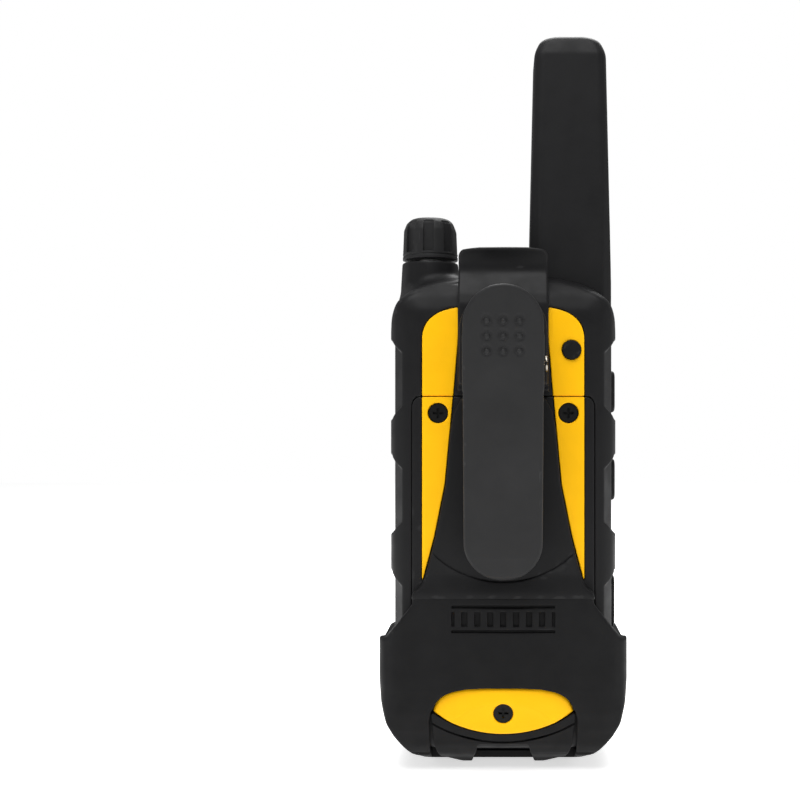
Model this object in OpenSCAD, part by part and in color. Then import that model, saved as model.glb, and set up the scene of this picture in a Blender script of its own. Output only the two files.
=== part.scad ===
// Handheld two way radio. Z is up, the front faces -Y, the belt clip is at +Y, the antenna is at -X.
// The origin is the middle of the foot, on the plane it stands on. All sizes are in millimetres.

/* [Case] */
// half width of the case at its side walls
case_half = 29.2; // [28:0.2:33]
// how deep the side pockets are pressed in
pocket_depth = 1.6; // [0.8:0.2:2.4]
// where the front and rear shells meet
seam_y = -5.8; // [-7:0.2:-4]
// outer face of the rear wall
back_y = 18.5; // [18:0.1:19.5]
// outer face of the front wall
front_y = -12.4; // [-13.4:0.2:-12]
// wall of the shells
wall = 1.8; // [1.5:0.1:2.2]

/* [Guard] */
// half width of the rubber guard
guard_half = 31.6; // [31:0.1:34]
// top edge of the guard at the sides
guard_top = 32.2; // [28:0.2:34]
// front face of the guard
guard_front = -16.4; // [-18:0.2:-15]
// rear face of the guard
guard_back = 21.4; // [20.8:0.1:23]
// seam between the fixed guard and the door's half
guard_seam = 15; // [13.5:0.1:15.4]

/* [Antenna] */
// top of the antenna
antenna_top = 190; // [170:1:210]
// middle of the antenna across the case
antenna_x = -17.45; // [-19:0.05:-16]
// width at the foot of the antenna
antenna_width = 21.5; // [18:0.5:22]
// depth of the antenna
antenna_depth = 15; // [12:0.5:15]

/* [Knob] */
// middle of the knob across the case
knob_x = 19.4; // [18:0.1:20]
// radius of the knob
knob_r = 7.3; // [6.5:0.1:7.4]
// underside of the knob
knob_z = 131.4; // [131:0.1:133]
// height of the knob
knob_h = 11.6; // [9:0.2:14]
// radius of the turning shaft
shaft_r = 2.9; // [2.5:0.1:3]

/* [Buttons] */
// travel of the talk button
ptt_travel = 0.8; // [0.5:0.1:0.8]
// travel of the other buttons
key_travel = 0.6; // [0.3:0.1:0.6]
// gap round every button
key_gap = 0.2; // [0.15:0.05:0.3]
// middle of the side buttons, front to back
side_y = 2.1; // [1:0.1:3]
// how far the side buttons stand from the middle plane
side_face = 29.1; // [28.4:0.1:30]

/* [Battery] */
// radius of one cell
cell_r = 7.25; // [7.1:0.05:7.25]
// length of one cell
cell_length = 50.5; // [49.2:0.1:50.5]
// spacing of the cells
cell_pitch = 14.7; // [14.6:0.05:14.8]
// half width of the battery door
door_half = 22.8; // [22.4:0.1:23]
// top edge of the battery door
door_top = 94.9; // [94:0.1:95]

/* [Clip] */
// half width of the paddle
paddle_half = 9.9; // [9:0.1:10.6]
// thickness of the paddle
paddle_t = 2.5; // [2:0.1:3]
// lean of the paddle away from the case, in degrees
paddle_lean = 8.3; // [6:0.1:9]
// pivot of the paddle, front to back
pivot_y = 31.9; // [31:0.1:33]
// pivot of the paddle, height
pivot_z = 102.6; // [101:0.1:104]
// radius of the pivot pin
pin_r = 1.6; // [1.2:0.1:1.9]
// thickness of the latch plate
latch_t = 1.8; // [1.5:0.1:2]

/* [Hidden] */
$fn = 48;
lower_half = case_half - 1;
skin_half = case_half - 1.8;
pocket_face = case_half - pocket_depth;
inner_half = pocket_face - 1.2;
ear_half = 10.7;
pocket_at = [[99.2, 21], [70, 21], [41.3, 19.4]];
fit = 0.05;
floor_y = back_y - 2.6;
cavity_y = floor_y - wall;
board_y = -4.6;
board_t = 1.6;
cell_y = 8.4;
cell_z = 34.8;
bay = [22.3, 0.4, 32.8, 87.2];
knob_y = 1.6;
antenna_y = 2.2;
antenna_seat = 116.8;
ptt_z = 103.95;
key_z = 55.6;
up_z = 96.3;
down_z = 73.4;
port_z = 41.6;
screw_x = 16.3;
screw_z = 90.8;
lens_screw_z = 16.2;
lens_arc_z = 40.1;
lens_arc_r = 29.3;
post_at = [[-8, 91.2], [8, 91.2], [-17.5, 26.6], [17.5, 26.6]];
speaker_z = 21.4;
speaker_r = 11.8;
latch_foot = 96.9;
black = [0.13, 0.13, 0.14];
rubber_black = [0.1, 0.1, 0.11];
yellow = [0.98, 0.76, 0.05];
steel = [0.75, 0.75, 0.74];
green = [0.1, 0.35, 0.2];

function both(p) = concat(p, [for (i = [len(p) - 1 : -1 : 0]) [-p[i][0], p[i][1]]]);
function blend(a, b, k) = [for (i = [0 : len(a) - 1]) a[i] * (1 - k) + b[i] * k];
inner_pts = [[15, 5.8], [21, 8.2], [24.6, 13], [inner_half, 20], [inner_half, 112.4],
    [24.8, 116.4], [18.4, 121.4], [10.8, 124]];
skin_pts = [[16, 4], [22, 6.5], [26.2, 12], [skin_half, 20], [skin_half, 113],
    [26.4, 117.2], [19, 122.6], [11.1, 125.4]];
bezel_pts = [[8, 8.3], [15.5, 12.8], [19.2, 22], [20.1, 32], [20.1, 112], [17.6, 117.2], [11.5, 120.8], [4, 122.4]];

module along_y(y0, y1) {
    translate([0, y1, 0]) rotate([90, 0, 0]) linear_extrude(height = y1 - y0) children();
}

module along_x(x0, x1) {
    translate([x0, 0, 0]) rotate([90, 0, 90]) linear_extrude(height = x1 - x0) children();
}

module box(a, b) {
    translate(a) cube(b - a);
}

module rounded(w, h, r) {
    square([w - 2 * r, h], center = true);
    square([w, h - 2 * r], center = true);
    for (x = [-1, 1], y = [-1, 1]) translate([x * (w / 2 - r), y * (h / 2 - r)]) circle(r = r);
}

module clipped(w, h, c) {
    polygon([[-w / 2 + c, -h / 2], [w / 2 - c, -h / 2], [w / 2, -h / 2 + c], [w / 2, h / 2 - c],
        [w / 2 - c, h / 2], [-w / 2 + c, h / 2], [-w / 2, h / 2 - c], [-w / 2, -h / 2 + c]]);
}

module at_y(x, z, y0, y1, r) {
    translate([x, y1, z]) rotate([90, 0, 0]) cylinder(r = r, h = y1 - y0);
}

// The three pressed pockets on each side wall.
module side_pockets() {
    for (s = [-1, 1], p = pocket_at)
        translate([s * (case_half + 2), 0.9, p[0]]) rotate([90, 0, 90])
            translate([0, 0, -2 - pocket_depth]) linear_extrude(height = 4 + 2 * pocket_depth)
                clipped(26, p[1], 3.2);
}

module side_pocket_tool() {
    intersection() {
        side_pockets();
        union() {
            box([-40, -20, 25], [-pocket_face, 20, 115]);
            box([pocket_face, -20, 25], [40, 20, 115]);
        }
    }
    for (p = pocket_at, s = [0, 1]) mirror([s, 0, 0]) translate([0, 0, p[0] - p[1] / 2 + 1.4])
        linear_extrude(height = p[1] - 2.8) polygon([[pocket_face, 13.2], [pocket_face - 2.4, 17.4],
            [pocket_face - 3, 18.45], [40, 18.45], [40, 13.2]]);
}

module rear_section() {
    polygon(both([[case_half, seam_y], [case_half, 11.6], [27.9, 15.2], [25.2, 17.5], [21, back_y]]));
}

module front_section() {
    polygon(both([[case_half, seam_y], [case_half, -8.4], [28.3, -10.6], [26, -11.9], [21, front_y]]));
}

module rear_outline() {
    polygon(both([[16, 4], [22, 6.5], [26.2, 12], [lower_half, 20], [lower_half, 32.4], [case_half, 32.4],
        [case_half, 111.5], [28.7, 114.6], [27.2, 117.6], [23.6, 120.8], [19.4, 123.2], [14.2, 125.3], [8, 126.3]]));
}

module front_outline() {
    polygon(both([[16, 4], [22, 6.5], [26.2, 12], [lower_half, 20], [lower_half, 32.4], [case_half, 32.4],
        [case_half, 111.5], [28.7, 114.8], [27.2, 118.2], [23.6, 122.4], [19.4, 125.2], [13, 127.9], [5, 129.4]]));
}

module rear_solid() {
    intersection() {
        along_y(seam_y, back_y) rear_outline();
        linear_extrude(height = 140) rear_section();
        along_x(-40, 40) polygon([[seam_y, 0], [11, 4], [15, 6], [17.4, 9.6], [back_y, 14], [back_y, 110], [17.9, 116], [16.4, 120.4],
            [13.4, 124.2], [8, 126.4], [seam_y, 126.8]]);
    }
}

module antenna_section(grow) {
    translate([antenna_x, antenna_y]) clipped(antenna_width + 2 * grow, antenna_depth + 2 * grow, 2.4);
}

module wedge_upper() {
    polygon([[12.5, 95.15], [11.0, 113], [11.45, 117.1], [14.5, 116.4], [17.6, 114.6], [19.7, 112.4],
        [20.3, 110.8], [20.3, 95.15]]);
}

module wedge_lower() {
    polygon([[12.55, 94.75], [19.3, 94.75], [20.3, 94.3], [20.3, 48.4], [19, 53.2], [17.2, 60], [14.6, 73]]);
}

module posts(r, y0, y1) {
    for (p = post_at) at_y(p[0], p[1], y0, y1, r);
}

module rear_shell() {
    color(black) difference() {
        union() {
            difference() {
                rear_solid();
                difference() {
                    along_y(seam_y - 1, cavity_y) polygon(both(inner_pts));
                    box([-40, seam_y - 2, 113.4], [-6, 20, 140]);
                    for (s = [0, 1]) mirror([s, 0, 0]) linear_extrude(height = 140)
                        polygon([[inner_half + 1, 11], [23.9, cavity_y + 1], [40, cavity_y + 1], [40, 11]]);
                }
            }
            intersection() {
                box([-bay[0] - 1.1, -1, bay[2] - 1.3], [bay[0] + 1.1, cavity_y + 0.4, bay[3] + 1.3]);
                along_y(-1, back_y) rear_outline();
            }
            posts(2.4, board_y + board_t + fit, cavity_y + 0.4);
            for (s = [-1, 1]) at_y(s * screw_x, screw_z, 7, cavity_y + 0.4, 2.5);
            intersection() {
                translate([knob_x, knob_y, 118]) cylinder(r1 = 8.1, r2 = 7.35, h = 13.2);
                box([0, seam_y, 110], [40, 30, 140]);
            }
        }
        box([-bay[0], bay[1], bay[2]], [bay[0], 30, bay[3]]);
        along_y(floor_y, 40) door_outline(0.15);
        side_pocket_tool();
        posts(1.25, -20, 40);
        for (p = post_at) at_y(p[0], p[1], floor_y - 1.5, 40, 2.3);
        for (s = [-1, 1]) at_y(s * screw_x, screw_z, 8.4, 40, 1.25);
        at_y(0, lens_screw_z, 5, 40, 1.25);
        for (s = [0, 1]) mirror([s, 0, 0]) along_y(back_y - 1.6, 40) wedge_upper();
        at_y(-17.1, 106.6, 10, 40, 2.45);
        difference() {
            along_y(seam_y - 1, seam_y + 0.5) polygon(both(blend(inner_pts, skin_pts, 0.75)));
            along_y(seam_y - 2, seam_y + 1) polygon(both(blend(inner_pts, skin_pts, 0.25)));
        }
        for (z = [up_z, down_z]) side_hole(11.9 + 2 * key_gap, 10.8 + 2 * key_gap, z);
        side_hole(3.8, 9.4, port_z);
        translate([0, 0, antenna_seat]) linear_extrude(height = 80) antenna_section(0.1);
        translate([antenna_x, antenna_y, 100]) cylinder(r = 1.3, h = 40);
        translate([knob_x, knob_y, 100]) cylinder(r = 3.4, h = 60);
        translate([knob_x, knob_y, 110]) cylinder(r = 5.6, h = 16);
        translate([knob_x, knob_y, 128.6]) cylinder(r = 3.75, h = 1.5);
    }
}

module side_hole(w, h, z) {
    translate([-case_half - 5, side_y, z]) rotate([90, 0, 90]) linear_extrude(height = 12) square([w, h], center = true);
}

module door_outline(grow) {
    d = door_half + grow;
    polygon(both([[14 + grow, 13.6 - grow], [14 + grow, 21.5], [d, 24.5], [d, door_top - 4 + grow],
        [d - 0.3, door_top - 2.45 + grow], [d - 1.2, door_top - 1.2 + grow], [d - 2.45, door_top - 0.3 + grow],
        [d - 4, door_top + grow]]));
}

module front_shell() {
    color(black) difference() {
        union() {
            difference() {
                intersection() {
                    along_y(front_y, seam_y) front_outline();
                    linear_extrude(height = 140) front_section();
                    along_x(-40, 40) polygon([[seam_y, 0], [-7.4, 4], [-10.6, 6.2], [front_y, 10], [front_y, 117.6],
                        [-11.6, 122.6], [-10.2, 126.6], [-8.4, 128.9], [-7, 129.5], [seam_y, 129.5]]);
                }
                intersection() {
                    along_y(front_y + wall, seam_y + 1) polygon(both(inner_pts));
                    along_x(-40, 40) polygon([[0, 0], [seam_y, 5], [-9.2, 7.8], [-10.6, 10.2], [-12, 30], [-12, 140], [0, 140]]);
                }
            }
            posts(2.2, front_y + wall - 0.2, board_y - fit);
        }
        posts(1.05, front_y + wall + 0.4, 0);
        side_pocket_tool();
        difference() {
            along_y(seam_y - 0.5, seam_y + 1) polygon(both(blend(inner_pts, skin_pts, 0.75)));
            along_y(seam_y - 2, seam_y + 2) polygon(both(blend(inner_pts, skin_pts, 0.25)));
        }
        along_y(-20, -8) translate([0, ptt_z]) rounded(30, 20.9, 3);
        for (s = [-1, 1]) along_y(-20, -8) translate([s * 7.9, key_z]) rounded(13.4 + 2 * key_gap, 6.6 + 2 * key_gap, 1.6);
        along_y(-20, -8) translate([0, 76.7]) rounded(30, 29.4, 2);
        along_y(-11.15, -8) translate([0, 76.7]) square([33.8, 31.2], center = true);
        for (i = [-4 : 4]) along_y(-20, -8) translate([3 * i, speaker_z]) square([1.5, 22 - 0.9 * abs(i)], center = true);
        at_y(12.4, 43, -20, -8, 0.6);
    }
}

module case_seal() {
    color([0.3, 0.3, 0.3]) difference() {
        along_y(seam_y - 0.45, seam_y + 0.45) polygon(both(blend(inner_pts, skin_pts, 0.7)));
        along_y(seam_y - 2, seam_y + 2) polygon(both(blend(inner_pts, skin_pts, 0.3)));
    }
}

module front_bezel() {
    color(yellow) intersection() {
        along_y(-14.3, front_y - fit) difference() {
            polygon(both(bezel_pts));
            translate([12.4, 43]) circle(r = 0.6);
            polygon(both([[17.2, 51.3], [17.2, 110.6], [14.6, 114.9], [9.6, 117.6], [3, 118.6]]));
            difference() {
                polygon(both([[6, 11.2], [13.4, 15], [16.2, 23], [17, 34.4]]));
                for (i = [-5 : 4]) translate([3 * i + 1.5, speaker_z]) square([1.4, 40], center = true);
            }
        }
        along_x(-30, 30) polygon([[front_y - fit, 8], [-13.7, 9.4], [-14.3, 14], [-14.3, 110],
            [-13.6, 117.6], [front_y - fit, 122.6]]);
    }
    color(yellow) along_y(-13.4, front_y - fit) translate([0, 92.6]) square([34.6, 1.2], center = true);
}

module display_window() {
    color([0.05, 0.05, 0.06]) along_y(-11.1, -9.9) translate([0, 76.7]) square([33.6, 31], center = true);
}

module lcd_module() {
    color([0.5, 0.55, 0.5]) difference() {
        box([-16, -9.8, 62], [16, board_y - 0.1, 88.7]);
        box([-14.4, -9.9, 64], [14.4, -9.5, 87]);
    }
}

module speaker_driver() {
    color([0.25, 0.25, 0.26]) difference() {
        union() {
            at_y(0, speaker_z, -9.9, -7.6, speaker_r);
            at_y(0, speaker_z, -7.7, -4.9, 8.2);
        }
        at_y(0, speaker_z, -10.5, -8.5, speaker_r - 0.9);
        at_y(0, speaker_z, -9, -6.4, 7);
    }
}

module speaker_cone() {
    color([0.16, 0.16, 0.17]) translate([0, -9.8, speaker_z]) rotate([-90, 0, 0])
        rotate_extrude() polygon([[0, 1.0], [2.4, 1.6], [3.2, 2.2], [6.7, 0.9], [10.2, 0.5], [10.8, 0.5],
            [10.8, 0.9], [10.2, 0.9], [6.7, 1.25], [3.2, 2.8], [0, 2.8]]);
}

module speaker_cloth() {
    color([0.05, 0.05, 0.05]) at_y(0, speaker_z, -10.5, -10.0, 11);
}

module microphone() {
    color(steel) difference() {
        at_y(12.4, 43, -10.5, -7.8, 2.2);
        at_y(12.4, 43, -11, -10.1, 0.6);
    }
}

module main_board() {
    color(green) difference() {
        along_y(board_y, board_y + board_t) polygon(both([[12, 8], [20, 10], [24.6, 20], [24.6, 106], [22, 110.8],
            [12, 112.4]]));
        posts(1.5, -10, 10);
    }
}

module rf_shield() {
    color(steel) difference() {
        box([-5, board_y + board_t + fit, 95.5], [10.5, -0.6, 111.5]);
        box([-4.6, board_y, 95.9], [10.1, -1, 111.1]);
    }
}

module switch_at(x, z) {
    box([x - 2.6, -5.3, z - 2.6], [x + 2.6, board_y - fit, z + 2.6]);
    at_y(x, z, -5.7, -5.2, 1.4);
}

module tact_switches() {
    color(steel) {
        switch_at(0, ptt_z);
        switch_at(-7.9, key_z);
        switch_at(7.9, key_z);
        for (z = [up_z, down_z]) {
            box([-24.3, side_y - 2.4, z - 2.4], [-bay[0] - 1.15, side_y + 2.4, z + 2.4]);
            translate([-24.85, side_y, z]) rotate([0, 90, 0]) cylinder(r = 1.3, h = 0.6);
        }
    }
}

module volume_encoder() {
    color([0.35, 0.36, 0.38]) difference() {
        union() {
            box([knob_x - 6.2, -2.9, 108], [knob_x + 5.4, 7.6, 113.8]);
            translate([knob_x, knob_y, 113.7]) cylinder(r = 5.2, h = 2.4);
            translate([knob_x, knob_y, 113]) cylinder(r = 3.35, h = 15);
        }
        translate([knob_x, knob_y, 109.5]) cylinder(r = shaft_r + fit, h = 40);
    }
}

module knob_seal() {
    color([0.05, 0.05, 0.05]) translate([knob_x, knob_y, 129.35])
        rotate_extrude() translate([shaft_r + 0.45, 0]) circle(r = 0.38);
}

module antenna_cover() {
    w = antenna_width / 2;
    color(black) difference() {
        intersection() {
            translate([0, 0, antenna_seat + fit]) linear_extrude(height = 90) antenna_section(0);
            along_y(-20, 30) translate([antenna_x, 0]) polygon([[-w, 100], [w, 100], [w, 124], [w - 1.4, antenna_top - 5.4],
                [w - 3.2, antenna_top - 1.6], [w - 6.2, antenna_top], [6.2 - w, antenna_top],
                [3.2 - w, antenna_top - 1.6], [1.4 - w, antenna_top - 5.4], [-w, 124]]);
            along_x(-40, 0) translate([antenna_y, 0]) polygon([[-7.5, 100], [7.5, 100], [7.5, antenna_top - 6],
                [6.4, antenna_top - 1.6], [4.4, antenna_top], [-4.4, antenna_top], [-6.4, antenna_top - 1.6],
                [-7.5, antenna_top - 6]]);
        }
        translate([antenna_x, antenna_y, 100]) cylinder(r = 4, h = antenna_top - 110);
    }
}

module antenna_element() {
    turns = 14;
    pitch = 3.7;
    color([0.72, 0.45, 0.2]) translate([antenna_x, antenna_y, 122]) rotate_extrude() {
        square([1.9, turns * pitch + 1]);
        for (i = [0 : turns]) translate([0, i * pitch]) square([2.9, 1]);
    }
}

module antenna_feed() {
    color([0.8, 0.62, 0.25]) translate([antenna_x, antenna_y, 108]) {
        cylinder(r = 1.1, h = 13.9);
        cylinder(r = 2.4, h = 2);
    }
}

module battery_cells() {
    color([0.2, 0.25, 0.3]) for (i = [-1 : 1]) translate([i * cell_pitch, cell_y, cell_z]) {
        cylinder(r = cell_r, h = cell_length - 1);
        translate([0, 0, cell_length - 1.1]) cylinder(r = 2.6, h = 1.1);
    }
}

module cell_contacts() {
    color(steel) for (i = [-1 : 1]) {
        box([i * cell_pitch - 5, cell_y - 5, cell_z + cell_length + fit],
            [i * cell_pitch + 5, cell_y + 5, cell_z + cell_length + 0.75]);
        box([i * cell_pitch - 5, cell_y - 5, bay[2] + fit], [i * cell_pitch + 5, cell_y + 5, bay[2] + 0.5]);
    }
}

module cell_springs() {
    color(steel) for (i = [-1 : 1]) translate([i * cell_pitch, cell_y, bay[2] + 0.9])
        for (k = [0 : 1]) translate([0, 0, k * 0.62]) rotate_extrude() translate([4 - k, 0]) circle(r = 0.3);
}

module guard_outline() {
    polygon(both([[19.3, 0], [20.2, 0.5], [23.8, 3.2], [27.3, 6.9], [29.3, 10.5], [30.8, 15.4],
        [guard_half, 21.5], [guard_half, guard_top - 1], [guard_half - 1, guard_top]]));
}

module guard_core(y0, y1) {
    along_y(y0, y1) polygon(both([[16, 3.9], [22.1, 6.4], [26.4, 11.9], [lower_half + 0.12, 19.9],
        [lower_half + 0.12, 40]]));
}

module bumper() {
    color(rubber_black) difference() {
        intersection() {
            along_y(guard_front, guard_seam) guard_outline();
            along_x(-40, 40) polygon([[-7.8, 0], [-11, 4], [-14, 9], [-16, 18], [guard_front, 20.5],
                [guard_front, 30], [-15.4, 31.2], [-12, guard_top], [guard_seam, guard_top], [guard_seam, 2.9],
                [11, 0.9], [6.5, 0]]);
            linear_extrude(height = 40) polygon(both([[guard_half, guard_seam], [guard_half, -7.4],
                [30.4, -11], [27.9, -14.2], [24.4, guard_front]]));
        }
        intersection() {
            guard_core(front_y - 0.12, 40);
            along_x(-40, 40) polygon([[-7.3, 3.85], [-10.7, 6.1], [front_y - 0.12, 9.9], [front_y - 0.12, 50], [50, 50],
                [50, 40], [back_y + 0.1, 14], [17.5, 9.5], [15.1, 5.9], [11.1, 3.85]]);
        }
        along_y(-30, front_y + 4) polygon(both([[8.2, 8.1], [15.8, 12.6], [19.5, 22], [20.9, 30], [20.9, 40]]));
        along_y(8.9, 40) polygon(both([[18.4, -1], [18.4, 9]]));
    }
}

module base_lug() {
    color(rubber_black) difference() {
        along_y(9, 21) polygon(both([[9, 0], [16, 2.6], [17.3, 7], [18.1, 16.4]]));
        along_x(-40, 40) polygon([[0, 3.85], [11.05, 3.85], [15.1, 5.9], [17.55, 9.4], [back_y + 0.15, 13.9],
            [back_y + 0.15, 40], [0, 40]]);
        along_x(-40, 40) polygon([[9, -1], [11, 1.1], [15, 3.2], [17.3, 6.7], [19.2, 11.6], [20.4, 16], [30, 16], [30, -1]]);
        along_y(0, 40) translate([0, lens_arc_z]) circle(r = lens_arc_r + 0.25, $fn = 96);
        along_y(12.5, 30) polygon([[-7.6, -1], [7.6, -1], [6.6, 4.6], [-6.6, 4.6]]);
    }
}

module rear_accents() {
    color(yellow) difference() {
        for (s = [0, 1]) mirror([s, 0, 0]) intersection() {
            along_y(back_y - 1.55, back_y + 0.25) scale_wedge() wedge_upper();
            along_x(0, 40) polygon([[10, 90], [back_y + 0.25, 90], [back_y + 0.25, 110], [back_y - 0.3, 116],
                [back_y - 1.5, 119]]);
        }
        at_y(-17.1, 106.6, 10, 40, 2.45);
    }
}

module scale_wedge() {
    translate([16, 106]) scale(0.992) translate([-16, -106]) children();
}

module vent_plug() {
    color(rubber_black) difference() {
        at_y(-17.1, 106.6, 12, back_y + 0.5, 2.4);
        at_y(-17.1, 106.6, back_y + 0.1, back_y + 1, 1.5);
    }
}

module cross_cut(x, z, y) {
    box([x - 1.3, y - 0.9, z - 0.3], [x + 1.3, y + 1, z + 0.3]);
    box([x - 0.3, y - 0.9, z - 1.3], [x + 0.3, y + 1, z + 1.3]);
}

module case_screws() {
    color(steel) for (p = post_at) difference() {
        union() {
            at_y(p[0], p[1], floor_y - 1.45, floor_y - 0.1, 2.2);
            at_y(p[0], p[1], -9.6, floor_y - 1.4, 1);
        }
        cross_cut(p[0], p[1], floor_y - 0.1);
    }
}

module usb_port() {
    color(steel) difference() {
        box([-case_half + 1.9, side_y - 1.7, port_z - 4.5], [-bay[0] - 1.2, side_y + 1.7, port_z + 4.5]);
        box([-case_half - 1, side_y - 1.2, port_z - 4], [-25.4, side_y + 1.2, port_z + 4]);
    }
}

module volume_knob() {
    color(black) translate([knob_x, knob_y, knob_z]) difference() {
        rotate_extrude() polygon([[0, 0], [knob_r, 0], [knob_r, 1.6], [knob_r - 0.3, knob_h - 2.6],
            [knob_r - 1, knob_h - 1.1], [knob_r - 2.4, knob_h], [0, knob_h]]);
        for (a = [0 : 45 : 315]) rotate([0, 0, a]) translate([knob_r - 0.75, -1.6, 2.1]) cube([3, 3.2, knob_h]);
        translate([0, 0, -1]) cylinder(r = shaft_r + fit, h = 9.2);
    }
}

module knob_shaft() {
    color(steel) translate([knob_x, knob_y, 109.8]) cylinder(r = shaft_r, h = knob_z + 8.1 - 109.8);
}

module ptt_button() {
    color(black) {
        difference() {
            along_y(-13.5, -10.4) translate([0, ptt_z]) rounded(29.6, 20.5, 2.8);
            for (z = [-6.6, 6.6]) box([-12, -14, ptt_z + z - 0.6], [12, -13, ptt_z + z + 0.6]);
        }
        along_y(-10.5, -9.9) translate([0, ptt_z + 0.3]) square([31.4, 20.8], center = true);
        at_y(0, ptt_z, -10, -6.6, 2);
    }
}

module front_key(x) {
    color(black) {
        along_y(-13.5, -10.4) translate([x, key_z]) rounded(13.4, 6.6, 1.4);
        along_y(-10.5, -9.9) translate([x, key_z]) square([14.6, 7.8], center = true);
        at_y(x, key_z, -10, -6.4, 1.5);
    }
}

module call_button() {
    front_key(-7.9);
}

module menu_button() {
    front_key(7.9);
}

module side_key(z, up) {
    color(black) {
        difference() {
            along_x(-side_face, -26.1) translate([side_y, z]) rounded(11.9, 10.8, 2);
            translate([-side_face, side_y, z + up * 1.6]) for (s = [-1, 1])
                rotate([s * 50, 0, 0]) box([-1, -0.35, up > 0 ? -3.6 : 0], [0.3, 0.35, up > 0 ? 0 : 3.6]);
        }
        along_x(-26.2, -25.6) translate([side_y, z]) square([13.4, 12.2], center = true);
    }
}

module up_button() {
    side_key(up_z, 1);
}

module down_button() {
    side_key(down_z, -1);
}

module usb_cover() {
    color(rubber_black) {
        along_x(-29, -27.75) translate([side_y, port_z]) rounded(11.9, 13.5, 2);
        box([-27.8, side_y - 0.8, port_z - 3], [-26.8, side_y + 0.8, port_z + 3]);
        translate([-28.3, side_y + 6, port_z - 4.5]) cylinder(r = 0.6, h = 9);
    }
}

module battery_door() {
    color(black) difference() {
        union() {
            along_y(floor_y + 0.6, back_y) door_outline(0);
            along_y(back_y - 0.1, 20.6) polygon(both([[22.7, 45.2], [20.1, 47.6],
                [18.6, 53.2], [16.9, 60], [14.3, 73], [12.1, door_top]]));
        }
        along_y(18.9, 40) polygon(both([[7.1, 53.6], [7.1, 130]]));
        for (s = [0, 1]) mirror([s, 0, 0]) along_y(back_y - 1, 40) wedge_lower();
        for (s = [-1, 1]) {
            at_y(s * screw_x, screw_z, 0, 40, 1.25);
            at_y(s * screw_x, screw_z, back_y - 1.4, 40, 2.5);
        }
        at_y(0, lens_screw_z, 0, 40, 1.25);
    }
}

module door_accents() {
    color(yellow) difference() {
        for (s = [0, 1]) mirror([s, 0, 0]) along_y(back_y - 0.95, back_y + 0.25)
            translate([17, 80]) scale(0.992) translate([-17, -80]) wedge_lower();
        for (s = [-1, 1]) at_y(s * screw_x, screw_z, 0, 40, 2.55);
    }
}

module lens_outline(grow) {
    intersection() {
        translate([0, lens_arc_z]) circle(r = lens_arc_r + grow, $fn = 96);
        polygon(both([[17.6 + grow, 5], [17.6 + grow, 16.6], [16.4 + grow, 19.4 + grow], [13.4 + grow, 21.5 + grow],
            [7 + grow, 22.5 + grow]]));
    }
}

module door_bumper() {
    color(rubber_black) difference() {
        intersection() {
            along_y(guard_seam + 0.1, guard_back) polygon(both([[19, 0], [20.2, 0.5], [23.8, 3.2], [27.3, 6.9],
                [29.3, 10.5], [30.8, 15.4], [guard_half, 21.5], [guard_half, guard_top - 1], [29.9, guard_top],
                [21.6, 43.2], [20.4, 45]]));
            along_x(-40, 40) polygon([[15, 2.9], [17.6, 6.4], [19.6, 11.4], [20.9, 16.2], [guard_back, 22],
                [guard_back, 41], [guard_back - 1.6, 45], [0, 45], [0, 0], [12.6, 0]]);
            linear_extrude(height = 60) polygon(both([[guard_half, 0], [guard_half, 16.4], [30.2, 19.4],
                [26.8, guard_back], [1, guard_back]]));
        }
        intersection() {
            along_y(0, back_y + 0.1) polygon(both([[16, 3.9], [22.1, 6.4], [26.4, 11.9],
                [lower_half + 0.15, 19.9], [lower_half + 0.15, 32.2], [case_half + 0.15, 32.2],
                [case_half + 0.15, 50]]));
            linear_extrude(height = 60) polygon(both([[case_half + 0.2, 0], [case_half + 0.2, 11.7],
                [28.1, 15.35], [25.4, 17.75], [22.95, back_y + 0.1]]));
            along_x(-40, 40) polygon([[0, 3.85], [11.1, 3.85], [15.1, 5.9], [17.5, 9.5], [back_y + 0.1, 13.9],
                [back_y + 0.1, 60], [0, 60]]);
        }
        along_y(0, 40) polygon(both([[18.4, -1], [18.4, 14.5], [18.3, 16.8]]));
        along_y(0, 40) lens_outline(0.1);
    }
}

module door_lens() {
    color(yellow) difference() {
        intersection() {
            along_y(17.8, 21) lens_outline(0);
            along_x(-40, 40) polygon([[17.9, 10], [19.6, 10], [20.4, 14], [21, 18.5], [21, 30], [back_y + fit, 30],
                [back_y + fit, 13.8]]);
        }
        at_y(0, lens_screw_z, 0, 40, 1.25);
        at_y(0, lens_screw_z, back_y + 0.6, 40, 2.5);
    }
}

module door_screws() {
    color([0.12, 0.12, 0.13]) {
        for (s = [-1, 1]) difference() {
            union() {
                at_y(s * screw_x, screw_z, back_y - 1.35, back_y - 0.2, 2.35);
                at_y(s * screw_x, screw_z, 9, back_y - 1.3, 1.2);
            }
            cross_cut(s * screw_x, screw_z, back_y - 0.2);
        }
        difference() {
            union() {
                at_y(0, lens_screw_z, back_y + 0.65, 20, 2.35);
                at_y(0, lens_screw_z, 10, back_y + 0.7, 1.2);
            }
            cross_cut(0, lens_screw_z, 20);
        }
    }
}

module door_seal() {
    color([0.4, 0.4, 0.4]) difference() {
        along_y(floor_y + 0.1, floor_y + 0.55) translate([0, 60]) square([45, 55.6], center = true);
        along_y(floor_y - 1, floor_y + 2) translate([0, 60]) square([43.2, 53.8], center = true);
    }
}

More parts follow.
